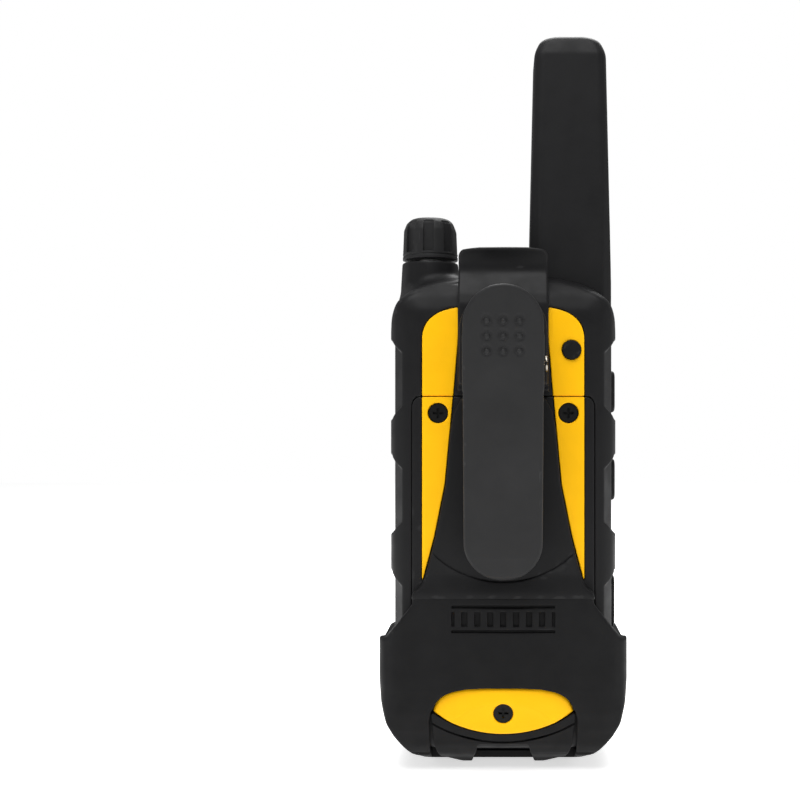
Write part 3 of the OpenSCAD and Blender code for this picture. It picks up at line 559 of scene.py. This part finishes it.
def rear_shell(x, y, z):
    d = rear_body(x, y, z)
    inner = cut(poly(INNER, x, z), y - 14.1)
    inner = cut(inner, 0.776 * np.abs(x) + 0.631 * y - 28.2)
    inner = cut(inner, -cut(x + 6, 113.4 - z))
    collar = np.hypot(x - KNOB[0], y - KNOB[1]) - (8.1 - 0.75 * np.clip((z - 118) / 13.2, 0, 1))
    collar = cut(collar, slab(z, 112, 130.35), 0.35)
    d = join(d, collar, 3.2)
    d = off(d, inner)
    tray = box(x, y, z, (-23.4, -1, 31.5), (23.4, 14.5, 88.5))
    d = np.minimum(d, tray)
    d = np.minimum(d, cut(posts(x, y, z, 2.4), slab(y, -2.95, 14.5)))
    d = np.minimum(d, cut(np.hypot(np.abs(x) - DOOR_SCREW_X, z - DOOR_SCREW_Z) - 2.5, slab(y, 7, 14.5)))
    d = off(d, box(x, y, z, (-22.3, 0.4, 32.8), (22.3, 40, 87.2)))
    d = off(d, cut(door_shape(x, z, 0.15), 15.9 - y), 0.12)
    d = off(d, side_pockets(x, y, z, REAR_SECTION), 0.15)
    d = off(d, posts(x, y, z, 1.25))
    d = off(d, cut(posts(x, y, z, 2.3), 14.4 - y))
    d = off(d, cut(np.hypot(np.abs(x) - DOOR_SCREW_X, z - DOOR_SCREW_Z) - 1.25, 8.4 - y))
    d = off(d, cut(np.hypot(x, z - LENS_SCREW_Z) - 1.25, 5 - y))
    d = off(d, cut(poly(WEDGE_TOP, np.abs(x), z) - 0.12, 16.9 - y))
    d = off(d, cut(np.hypot(x - PLUG[0], z - PLUG[1]) - 2.45, 10 - y))
    groove = cut(cut(poly(mid(0.75), x, z), -poly(mid(0.25), x, z)), y - SEAM - 0.5)
    d = off(d, groove)
    for z0 in (UP_KEY_Z, DOWN_KEY_Z):
        d = off(d, cut(round_tile(y - SIDE_KEY_Y, z - z0, 12.3, 11.2, 2.1), x + 23), 0.1)
    d = off(d, box(x, y, z, (-40, 0.2, 36.9), (-23, 4.0, 46.3)))
    d = off(d, cut(antenna_section(x, y, 0.12), 116.8 - z), 0.3)
    d = off(d, cut(np.hypot(x - ANTENNA[0], y - ANTENNA[1]) - 1.3, 100 - z))
    r = np.hypot(x - KNOB[0], y - KNOB[1])
    d = off(d, cut(r - 3.4, 100 - z))
    d = off(d, cut(r - 5.6, slab(z, 110, 126)))
    d = off(d, cut(r - 3.75, slab(z, 128.6, 130.1)))
    return np.maximum(d, SEAM - y)


def front_shell(x, y, z):
    d = front_body(x, y, z)
    inner = cut(poly(INNER, x, z), poly([(10, 2), (SEAM, 5), (-9.2, 7.8), (-10.6, 10.2), (-10.6, 140),
                                         (10, 140)], y, z))
    d = off(d, inner)
    d = np.minimum(d, cut(posts(x, y, z, 2.2), slab(y, -10.8, -4.65)))
    d = off(d, cut(posts(x, y, z, 1.05), -10.2 - y))
    d = off(d, side_pockets(x, y, z, FRONT_SECTION), 0.15)
    d = off(d, cut(cut(poly(mid(0.75), x, z), -poly(mid(0.25), x, z)), SEAM - 0.5 - y))
    d = off(d, cut(round_tile(x, z - PTT_Z, 30, 20.9, 3), y + 8), 0.15)
    d = off(d, cut(round_tile(np.abs(x) - FRONT_KEY_X, z - FRONT_KEY_Z, 13.8, 7.0, 1.6), y + 8), 0.15)
    d = off(d, cut(round_tile(x, z - 76.7, 30, 29.4, 2), y + 8), 0.2)
    d = off(d, box(x, y, z, (-16.9, -11.15, 61.1), (16.9, -8, 92.3)))
    for i in range(-4, 5):
        d = off(d, box(x, y, z, (3 * i - 0.75, -20, 10.4 + 0.45 * abs(i)),
                       (3 * i + 0.75, -8, 32.4 - 0.45 * abs(i))))
    d = off(d, cut(np.hypot(x - MICROPHONE[0], z - MICROPHONE[1]) - 0.6, y + 8))
    return cut(d, y - SEAM, 0.25)


def bezel(x, y, z):
    outline = poly(arcs(both([(8, 8.3), (15.5, 12.8), (19.2, 22), (20.1, 32), (20.1, 112), (17.6, 117.2),
                              (11.5, 120.8), (4, 122.4)]), 9), x, z)
    hollow = poly(arcs(both([(17.2, 51.3), (17.2, 110.6), (14.6, 114.9), (9.6, 117.6), (3, 118.6)]), 3),
                  x, z)
    grille = poly(arcs(both([(6, 11.2), (13.4, 15), (16.2, 23), (17, 34.4)]), 3), x, z)
    ribs = np.abs(np.mod(x, 3) - 1.5) - 0.7
    side = poly(arcs([(-12.45, 8), (-13.7, 9.4), (-14.3, 14), (-14.3, 110), (-13.6, 117.6),
                      (-12.45, 122.6)], 4), y, z)
    d = cut(outline, side, 0.75)
    d = off(d, cut(hollow, y), 0.5)
    slots = cut(grille, -ribs)
    d = off(d, slots, 0.35)
    bar = box(x, y, z, (-17.3, -13.4, 92.0), (17.3, -12.45, 93.2), 0.3)
    d = join(d, bar, 0.3)
    return off(d, np.hypot(x - MICROPHONE[0], z - MICROPHONE[1]) - 0.6)


GUARD_OUT = arcs(both([(18.6, 0), (19.6, 0.9), (24.0, 5.0), (27.4, 9.8), (29.4, 13.8), (30.8, 18.3),
                       (31.4, 24), (31.4, 32.8), (31.1, 33.2)]), 9)


def guard_core(x, y, z):
    core = poly(both([(16, 3.9), (22.1, 6.4), (26.4, 11.9), (28.32, 19.9), (28.32, 60)]), x, z)
    side = poly([(-7.3, 3.85), (-10.7, 6.1), (-12.52, 9.9), (-12.52, 60), (50, 60), (50, 40), (18.6, 14),
                 (17.5, 9.5), (15.1, 5.9), (11.1, 3.85)], y, z)
    return cut(core, side)


def bumper(x, y, z):
    side = poly(arcs([(-7.8, 0), (-11, 4), (-14, 9), (-16, 18), (-16.4, 20.5), (-16.4, 30), (-15.4, 31.8),
                      (-12, 33.2), (40, 33.2), (40, 4.2), (15, 4.2), (11, 2.3), (8, 1.2), (3.5, 0)], 4),
                y, z)
    section = poly(arcs(both([(31.3, 60), (31.3, -7.4), (30.2, -11), (27.9, -14.2), (24.4, -16.4)]), 6),
                   x, y)
    d = cut(cut(poly(GUARD_OUT, x, z), side, 1.0), section, 1.0)
    d = off(d, guard_core(x, y, z), 0.5)
    mouth = poly(arcs(both([(8.2, 8.1), (15.8, 12.6), (19.5, 22), (20.9, 30), (21.4, 60)]), 9), x, z)
    d = off(d, cut(mouth, y + 8.4), 0.9)
    d = off(d, box(x, y, z, (-18.4, 8.9, -1), (18.4, 40, 9)), 0.3)
    return cut(d, y - 15.04, 0.06)


def base_lug(x, y, z):
    d = cut(poly(arcs(both([(9, 0), (16, 2.6), (17.3, 7), (18.1, 16.4)]), 1.0), x, z), slab(y, 9, 21),
            0.2)
    core = poly([(-20, -5), (0, 3.85), (11.05, 3.85), (15.1, 5.9), (17.55, 9.4), (18.65, 13.9),
                 (18.65, 60), (-20, 60)], y, z)
    d = off(d, core)
    skin = poly(arcs([(7.4, -1), (11, 2.3), (15, 4.4), (17.3, 7.5), (19.2, 12.0), (20.4, 16), (20.6, 30),
                      (-20, 30), (-20, -1)], 6), y, z)
    d = cut(d, skin, 0.4)
    d = off(d, np.hypot(x, z - 40.1) - 29.55, 0.3)
    # a fine arc under the lens, the step between the two feet and the opening below it
    d = off(d, cut(np.abs(np.hypot(x, z - 40.1) - 31.9) - 0.25, -(skin + 0.5)), 0.1)
    step = poly(arcs([(-8.4, -1), (8.4, -1), (6.3, 7.4), (-6.3, 7.4)], 0.8), x, z)
    d = off(d, cut(step, -(skin + 1.3)), 0.3)
    return off(d, poly(arcs([(-8.2, -3), (8.2, -3), (7.2, 3.7), (-7.2, 3.7)], 0.5), x, z), 0.2)


DOOR_GUARD = arcs(both([(18.4, 0), (19.6, 0.9), (24.0, 5.0), (27.4, 9.8), (29.4, 13.8), (30.8, 18.3),
                        (31.4, 24), (31.4, 34.2), (31.2, 34.5), (29.4, 34.7), (22.9, 42.8),
                        (21.2, 47.5)]), 6)
LENS_TOP = arcs(both([(17.6, 5), (17.6, 16.6), (16.7, 18.9), (15.3, 20.4), (13.0, 21.5), (9.4, 22.25),
                      (4, 22.5)]), 8)


def lens_outline(x, z, grow):
    return cut(np.hypot(x, z - 40.1) - 29.3 - grow, poly(LENS_TOP, x, z) - grow)


def door_bumper(x, y, z):
    side = poly(arcs([(0, 4.2), (15, 4.2), (17.6, 7.3), (19.6, 11.8), (20.9, 16.2), (21.4, 22),
                      (21.4, 44.9), (21.3, 45), (0, 45)], 8), y, z)
    section = poly(arcs(both([(31.7, -20), (31.5, 16.2), (30.1, 19.4), (26.8, 21.4), (20, 24)]), 4), x, y)
    d = cut(cut(poly(DOOR_GUARD, x, z), side, 0.7), section, 0.8)
    core = cut(poly(both([(16, 3.9), (22.1, 6.4), (26.4, 11.9), (28.35, 19.9), (28.35, 32.2),
                          (29.35, 32.2), (29.35, 60)]), x, z),
               poly(both([(29.4, -20), (29.4, 11.7), (28.1, 15.35), (25.4, 17.75), (22.95, 18.6)]), x, y))
    core = cut(core, poly([(-20, 3.85), (11.1, 3.85), (15.1, 5.9), (17.5, 9.5), (18.6, 13.9), (18.6, 80),
                           (-20, 80)], y, z))
    d = off(d, core)
    d = off(d, poly(arcs(both([(18.4, -5), (18.4, 14.5), (17.8, 17.2)]), 0.8), x, z), 0.5)
    d = off(d, lens_outline(x, z, 0.1), 0.35)
    # generic moulded mark: two thin lines with a row of plain ribs between
    mark = cut(slab(np.abs(z - 39.8), 2.7, 3.4), np.abs(x) - 12.8)
    ribs = cut(np.abs(np.mod(x + 20.8, 3.2) - 1.6) - 0.7, slab(z, 38.0, 41.6))
    mark = np.minimum(mark, cut(ribs, np.abs(x) - 12.8))
    d = off(d, cut(mark, 20.75 - y), 0.05)
    return np.maximum(d, 15.1 - y)


def door_lens(x, y, z):
    side = poly(arcs([(17.9, 10), (19.6, 10), (20.4, 14), (21, 18.5), (21.1, 40), (18.55, 40),
                      (18.55, 13.8)], 3), y, z)
    side = np.maximum(side, y - 21.15 + 0.0045 * x * x + 0.012 * (z - 16) ** 2)
    d = cut(lens_outline(x, z, 0), side, 0.7)
    r = np.hypot(x, z - LENS_SCREW_Z)
    d = off(d, r - 1.25)
    return off(d, cut(r - 2.5, 19.1 - y), 0.2)


def battery_door(x, y, z):
    side = poly([(0, -10), (12, 4), (15, 6), (17.4, 9.6), (18.5, 14), (18.5, 200), (0, 200)], y, z)
    d = cut(cut(door_shape(x, z, 0), 16.5 - y), side, 0.25)
    rise = np.clip((51 - z) / 5.5, 0, 1)
    rise = rise * rise * (3 - 2 * rise)
    bulge = cut(cut(poly(BULGE, x, z), y - 20.6 - 0.75 * rise, 0.8), 17.5 - y)
    bulge = cut(cut(bulge, z - 94.9, 0.2), 44.65 - z)
    d = join(d, bulge, 0.35)
    ring = cut(np.hypot(x, z - 74) - 25.2, 20.28 - y)
    d = off(d, ring, 0.15)
    d = off(d, box(x, y, z, (-7.1, 18.9, 53.6), (7.1, 40, 200)), 0.2)
    d = off(d, cut(poly(WEDGE_LOW, np.abs(x), z) - 0.1, 17.5 - y))
    r = np.hypot(np.abs(x) - DOOR_SCREW_X, z - DOOR_SCREW_Z)
    d = off(d, r - 1.25)
    d = off(d, cut(r - 2.5, 17.1 - y))
    return off(d, np.hypot(x, z - LENS_SCREW_Z) - 1.25)


def door_accents(x, y, z):
    d = cut(poly(WEDGE_LOW, np.abs(x), z) + 0.03, slab(y, 17.55, 18.78), 0.12)
    return off(d, np.hypot(np.abs(x) - DOOR_SCREW_X, z - DOOR_SCREW_Z) - 2.55, 0.25)


def rear_accents(x, y, z):
    d = cut(poly(WEDGE_TOP, np.abs(x), z) + 0.02, rear_body(x, y, z) - 0.24, 0.12)
    d = cut(d, 16.95 - y)
    return off(d, np.hypot(x - PLUG[0], z - PLUG[1]) - 2.45, 0.15)


def vent_plug(x, y, z):
    return rod(x, z, y, PLUG, 2.4, 12, 19.0, 0.35)


def antenna_cover(x, y, z):
    w = 10.75
    d = antenna_section(x, y, 0)
    front = poly(arcs([(-w, 90), (w, 90), (w, 124), (w - 1.4, 184.6), (w - 3.2, 188.4), (w - 6.2, 190),
                       (6.2 - w, 190), (3.2 - w, 188.4), (1.4 - w, 184.6), (-w, 124)], 8), x - ANTENNA[0],
                 z)
    side = poly(arcs([(-7.5, 90), (7.5, 90), (7.5, 184), (6.4, 188.4), (4.4, 190), (-4.4, 190),
                      (-6.4, 188.4), (-7.5, 184)], 4), y - ANTENNA[1], z)
    d = np.maximum(d, cut(front, side, 2.6))
    d = cut(d, 116.85 - z)
    return off(d, cut(np.hypot(x - ANTENNA[0], y - ANTENNA[1]) - 4, z - 180))


def volume_knob(x, y, z):
    r = np.hypot(x - KNOB[0], y - KNOB[1])
    side = poly(arcs([(-20, 130.55), (7.3, 130.55), (7.3, 132.2), (7.05, 138.9), (6.3, 140.8),
                      (5.0, 142.0), (2, 142.35), (-20, 142.35)], 2), r, z)
    angle = np.arctan2(y - KNOB[1], x - KNOB[0])
    turn = np.mod(angle + math.pi / 8, math.pi / 4) - math.pi / 8
    u, v = r * np.cos(turn), r * np.sin(turn)
    flute = cut(cut(np.abs(v) - 1.4, 6.2 - u), 132.9 - z)
    d = off(side, flute, 0.06)
    d = off(d, cut(cut(np.abs(v) - 1.4, 5.8 - u), 140.6 - z), 0.1)
    ring = cut(7.12 - r, slab(z, 132.05, 132.4))
    d = off(d, ring, 0.1)
    return off(d, cut(r - 2.95, z - 139.6))


def ptt_button(x, y, z):
    dz = z - PTT_Z
    d = cut(round_tile(x, dz, 29.6, 20.5, 2.8), slab(y, -13.5, -10.2), 0.8)
    for c in (-6.6, 6.6):
        d = off(d, box(x, y, dz, (-12, -15, c - 0.7), (12, -13.05, c + 0.7), 0.2), 0.25)
    for c in (-1.8, 0, 1.8):
        d = join(d, box(x, y, dz, (-7, -13.75, c - 0.3), (7, -13, c + 0.3), 0.2), 0.2)
    d = np.minimum(d, box(x, y, z, (-15.7, -10.5, 93.85), (15.7, -9.9, 114.65)))
    return np.minimum(d, rod(x, z, y, (0, PTT_Z), 2, -10, -6.6))


def front_key(at, icon):
    def shape(x, y, z):
        u, v = x - at, z - FRONT_KEY_Z
        d = cut(round_tile(u, v, 13.4, 6.6, 1.4), slab(y, -13.5, -10.2), 0.6)
        if icon == "rings":
            mark = np.minimum(np.abs(np.hypot(u, v) - 1.7) - 0.22, np.hypot(u, v) - 0.5)
        else:
            mark = cut(np.abs(np.abs(v) - 1.2) - 0.25, np.abs(u) - 2.2)
            mark = np.minimum(mark, cut(np.abs(v) - 0.25, np.abs(u) - 2.2))
        d = off(d, cut(mark, y + 13.3), 0.05)
        d = np.minimum(d, box(x, y, z, (at - 7.3, -10.5, 51.7), (at + 7.3, -9.9, 59.5)))
        return np.minimum(d, rod(x, z, y, (at, FRONT_KEY_Z), 1.5, -10, -6.4))
    return shape


def side_key(z0, up):
    def shape(x, y, z):
        u, v = y - SIDE_KEY_Y, z - z0
        d = cut(round_tile(u, v, 11.9, 10.8, 2), slab(x, -29.1, -26.0), 0.75)
        tip = v - up * 1.7
        arm = np.abs((tip * up + np.abs(u) * 0.8) / 1.28) - 0.28
        arm = cut(arm, np.abs(u) - 3.1)
        d = off(d, cut(arm, x + 28.82), 0.12)
        return np.minimum(d, box(x, y, z, (-26.2, -4.6, z0 - 6.1), (-25.6, 8.8, z0 + 6.1)))
    return shape


def usb_cover(x, y, z):
    u, v = y - SIDE_KEY_Y, z - PORT_Z
    d = cut(round_tile(u, v, 11.9, 13.5, 2), slab(x, -29.0, -27.75), 0.5)
    plug = np.abs(poly(arcs([(-1.6, -3), (1.6, -3), (1.6, 1.2), (0.9, 1.2), (0.9, 3), (-0.9, 3),
                             (-0.9, 1.2), (-1.6, 1.2)], 0.3), u, v)) - 0.22
    d = off(d, cut(plug, x + 28.75), 0.1)
    d = np.minimum(d, box(x, y, z, (-27.9, 1.3, 38.6), (-26.8, 2.9, 44.6), 0.2))
    return np.minimum(d, rod(x, y, z, (-28.3, 8.1), 0.6, 37.1, 46.1, 0.15))


def clip_latch(x, y, z):
    side = poly(arcs([(20.7, 97), (20.7, 112), (20.1, 118), (19.2, 121), (17.6, 123.6), (16.1, 126.2),
                      (15.9, 128.2), (16.6, 130.4), (17.9, 132.2), (16.6, 132.9), (15.1, 131.3),
                      (14.1, 128.8), (14.2, 126.2), (15.9, 122.9), (17.4, 120.4), (18.3, 117.6),
                      (18.9, 112), (18.9, 97)], 8), y, z)
    top = poly(arcs(both([(11.3, 80), (11.3, 130.8), (10.5, 131.9), (6, 132.7), (0.5, 132.85)]), 3), x, z)
    d = cut(side, top, 0.55)
    return np.minimum(d, rod(y, z, x, (19.8, 96.9), 0.9, -11.3, 11.3, 0.2))


def clip_base(x, y, z):
    tongue = box(x, y, z, (-6.9, 19.1, 54), (6.9, 21, 94.6), 0.2)
    rail = cut(poly(arcs([(20.9, 53), (25.2, 50.6), (26.2, 54), (26.2, 98.2), (25.4, 100.6),
                          (21.3, 100.6), (21.3, 95.6), (20.9, 95.6)], 0.6), y, z),
               np.where(z < 59.8, np.hypot(x, z - 59.8) - 8.8, np.abs(x) - 8.8), 0.6)
    outline = np.where(z > 110.7, np.hypot(x, z - 110.7) - 10.7, np.maximum(np.abs(x) - 10.7, 97.7 - z))
    ear = cut(outline, slab(y, 25.3, 27.5), 0.6)
    d = np.minimum(join(rail, ear, 0.5), tongue)
    lug = poly(arcs([(27.0, 96.6), (31.9, 99.6), (33.4, 100.2), (34.4, 101.2), (34.85, 102.6),
                     (34.4, 104), (33.4, 105.1), (31.9, 105.6), (27.0, 108)], 1.5), y, z)
    lugs = cut(lug, np.abs(np.abs(x) - 5.5) - 1.3, 0.3)
    d = join(d, lugs, 0.5)
    return off(d, np.hypot(y - PIVOT[0], z - PIVOT[1]) - 1.63)


def clip_boss(x, y, z):
    r = np.hypot(x, z - 76)
    side = poly(arcs([(-20, 26.25), (9.1, 26.25), (9.1, 27.8), (8.5, 28.4), (7.6, 29), (-20, 29)], 0.8),
                r, y)
    return off(side, cut(np.abs(r - 5.6) - 0.3, 28.8 - y), 0.1)


def clip_paddle(x, y, z):
    lean = math.tan(math.radians(8.3))

    def face(h):
        return 31.5 + (h - 68.5) * lean

    side = poly(arcs([(face(55.5), 55.5), (28.0, 53.4), (27.3, 52.2), (27.25, 51), (28.3, 50.0),
                      (29.6, 50.2), (31.0, 51.8), (face(56) + 2.5, 56.6), (face(121.2) + 2.5, 121.2),
                      (face(121.2), 121.2)], 3), y, z)
    outline = np.where(z > 111.1, np.hypot(x, z - 111.1) - 9.4,
                       np.where(z < 60.1, np.hypot(x, z - 60.1) - 9.4, np.abs(x) - 9.4))
    d = cut(side, outline, 0.85)
    outer = face(z) + 2.5
    # thumb dimple and the nine grip pips
    dish = np.hypot(np.hypot(x, z - 95), y - outer - 28) - 28.45
    d = off(d, dish, 0.5)
    for i in (-1, 0, 1):
        for j in range(3):
            px, pz = 3.75 * i, 112.0 - 3.45 * j
            r = np.hypot(x - px, z - pz)
            h = y - face(pz) - 2.5
            d = off(d, np.hypot(r, h - 1.9) - 2.35, 0.12)
            d = join(d, np.hypot(r, h + 0.35) - 0.75, 0.25)
    ear = poly(arcs([(29.4, 101), (31.2, 99.8), (32.6, 99.4), (36.9, 96.2), (38.4, 96.4), (40, 108.6),
                     (38.2, 108.8), (32.6, 105.6), (31.2, 105.3), (29.4, 104.2)], 1.8), y, z)
    ear = cut(ear, y - outer + 0.6)
    ears = cut(ear, np.abs(np.abs(x) - 8.15) - 1.15, 0.35)
    d = join(d, ears, 0.7)
    return off(d, np.hypot(y - PIVOT[0], z - PIVOT[1]) - 1.66)


def clip_pin(x, y, z):
    d = np.minimum(rod(y, z, x, PIVOT, 1.58, -9.95, 9.4, 0.2),
                   rod(y, z, x, PIVOT, 2.0, -10.5, -9.8, 0.25))
    return off(d, box(x, y, z, (-12, 28, 102.2), (-9.75, 36, 103.0)), 0.1)


# ---------------------------------------------------------------- the pieces
piece("rear_shell_case", "radio_body", ["rear_shell"], (-30.4, -6, 3.6), (30.4, 18.9, 131.6), 0.33,
      rear_shell, "shell", 0.16)
piece("front_shell_case", "radio_body", ["front_shell"], (-30.4, -12.8, 3.6), (30.4, -4, 130), 0.33,
      front_shell, "front", 0.16)
piece("front_bezel_frame", "radio_body", ["front_bezel"], (-20.5, -14.6, 8), (20.5, -12.2, 123), 0.2,
      bezel, "bezel", 0.22)
piece("guard", "radio_body", ["bumper"], (-32.8, -16.8, -0.3), (32.8, 15.3, 33.8), 0.34, bumper, "guard",
      0.2)
piece("base_lug_moulding", "radio_body", ["base_lug"], (-18.8, 8.8, -0.3), (18.8, 21, 17), 0.17, base_lug,
      "guard", 0.25)
piece("rear_accent_pair", "radio_body", ["rear_accents"], (-20.6, 16.6, 94.8), (20.6, 19.2, 117.6), 0.16,
      rear_accents, "accent", 0.25)
piece("vent_plug_disc", "radio_body", ["vent_plug"], (-19.8, 11.8, 104), (-14.4, 19.2, 109.2), 0.1,
      vent_plug, "guard", 0.3)
piece("antenna_blade", "radio_body", ["antenna_cover"], (-28.5, -5.6, 116.6), (-6.4, 10, 190.3), 0.34,
      antenna_cover, "antenna", 0.2)
piece("volume_knob_cap", "knob", ["volume_knob"], (11.9, -5.9, 131.2), (26.9, 9.1, 143.2), 0.11,
      volume_knob, "knob", 0.3)
piece("ptt_button_cap", "ptt", ["ptt_button"], (-15.9, -13.9, 93.4), (15.9, -6.4, 115), 0.2, ptt_button,
      "key", 0.25)
piece("call_button_cap", "call_key", ["call_button"], (-15.4, -13.7, 51.4), (-0.4, -6.2, 59.8), 0.13,
      front_key(-FRONT_KEY_X, "rings"), "key", 0.25)
piece("menu_button_cap", "menu_key", ["menu_button"], (0.4, -13.7, 51.4), (15.4, -6.2, 59.8), 0.13,
      front_key(FRONT_KEY_X, "lines"), "key", 0.25)
piece("up_button_cap", "up_key", ["up_button"], (-29.3, -4.9, 89.9), (-25.4, 9.1, 102.7), 0.13,
      side_key(UP_KEY_Z, 1), "key", 0.25)
piece("down_button_cap", "down_key", ["down_button"], (-29.3, -4.9, 67), (-25.4, 9.1, 79.8), 0.13,
      side_key(DOWN_KEY_Z, -1), "key", 0.25)
piece("usb_cover_flap", "port_flap", ["usb_cover"], (-29.3, -4.2, 34.5), (-26.5, 9, 48.7), 0.12,
      usb_cover, "key", 0.25)
piece("battery_door_panel", "door", ["battery_door"], (-23.2, 16.2, 13), (23.2, 21.8, 95.2), 0.22,
      battery_door, "shell", 0.2)
piece("door_accent_pair", "door", ["door_accents"], (-20.6, 17.3, 49.4), (20.6, 19, 95), 0.16,
      door_accents, "accent", 0.22)
piece("door_guard", "door", ["door_bumper"], (-32.8, 14.8, 1), (32.8, 21.7, 45.3), 0.25, door_bumper,
      "guard", 0.2)
piece("door_lens_plate", "door", ["door_lens"], (-18, 17.5, 10), (18, 21.4, 23), 0.15, door_lens,
      "accent", 0.25)
piece("clip_base_rail", "clip_mount", ["clip_base"], (-11, 18.9, 50), (11, 35.2, 121.8), 0.25, clip_base,
      "clip", 0.22)
piece("clip_boss_disc", "clip_mount", ["clip_boss"], (-9.5, 26, 66.6), (9.5, 29.3, 85.4), 0.15, clip_boss,
      "clip", 0.25)
piece("clip_pin_rod", "clip_mount", ["clip_pin"], (-10.8, 29.6, 100.3), (9.8, 34.2, 104.9), 0.12,
      clip_pin, "nickel", 0.3)
piece("clip_latch_tab", "latch", ["clip_latch"], (-11.6, 13.8, 95.7), (11.6, 21, 134.1), 0.2, clip_latch,
      "clip", 0.25)
piece("clip_paddle_lever", "paddle", ["clip_paddle"], (-11.2, 27, 49.6), (11.2, 42.1, 121.6), 0.2,
      clip_paddle, "paddle", 0.25)

# ---------------------------------------------------------------- CAD nodes that keep their own shape
LOOKS = {
    "case_seal": "seal", "display_window": "window", "lcd_module": "lcd", "speaker_driver": "basket",
    "speaker_cone": "cone",
    "speaker_cloth": "cloth", "microphone": "tin", "main_board": "board", "rf_shield": "tin",
    "tact_switches": "tin",
    "volume_encoder": "basket", "knob_seal": "seal", "antenna_element": "copper",
    "antenna_feed": "copper",
    "battery_cells": "sleeve", "cell_contacts": "tin", "cell_springs": "zinc", "case_screws": "zinc",
    "usb_port": "tin",
    "knob_shaft": "zinc", "door_screws": "oxide", "door_seal": "seal", "clip_spring": "zinc",
}
for node, look in LOOKS.items():
    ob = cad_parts[node]
    if not ob.material_slots:
        ob.data.materials.append(M[look])
    for s in ob.material_slots:
        s.material = M[look]
    if node in ("display_window", "lcd_module", "battery_cells", "door_screws", "rf_shield", "case_screws"):
        soft = ob.modifiers.new("soft_edges", "BEVEL")
        soft.width = 0.12 * MM
        soft.segments = 2
        soft.limit_method = "ANGLE"
        soft.harden_normals = True
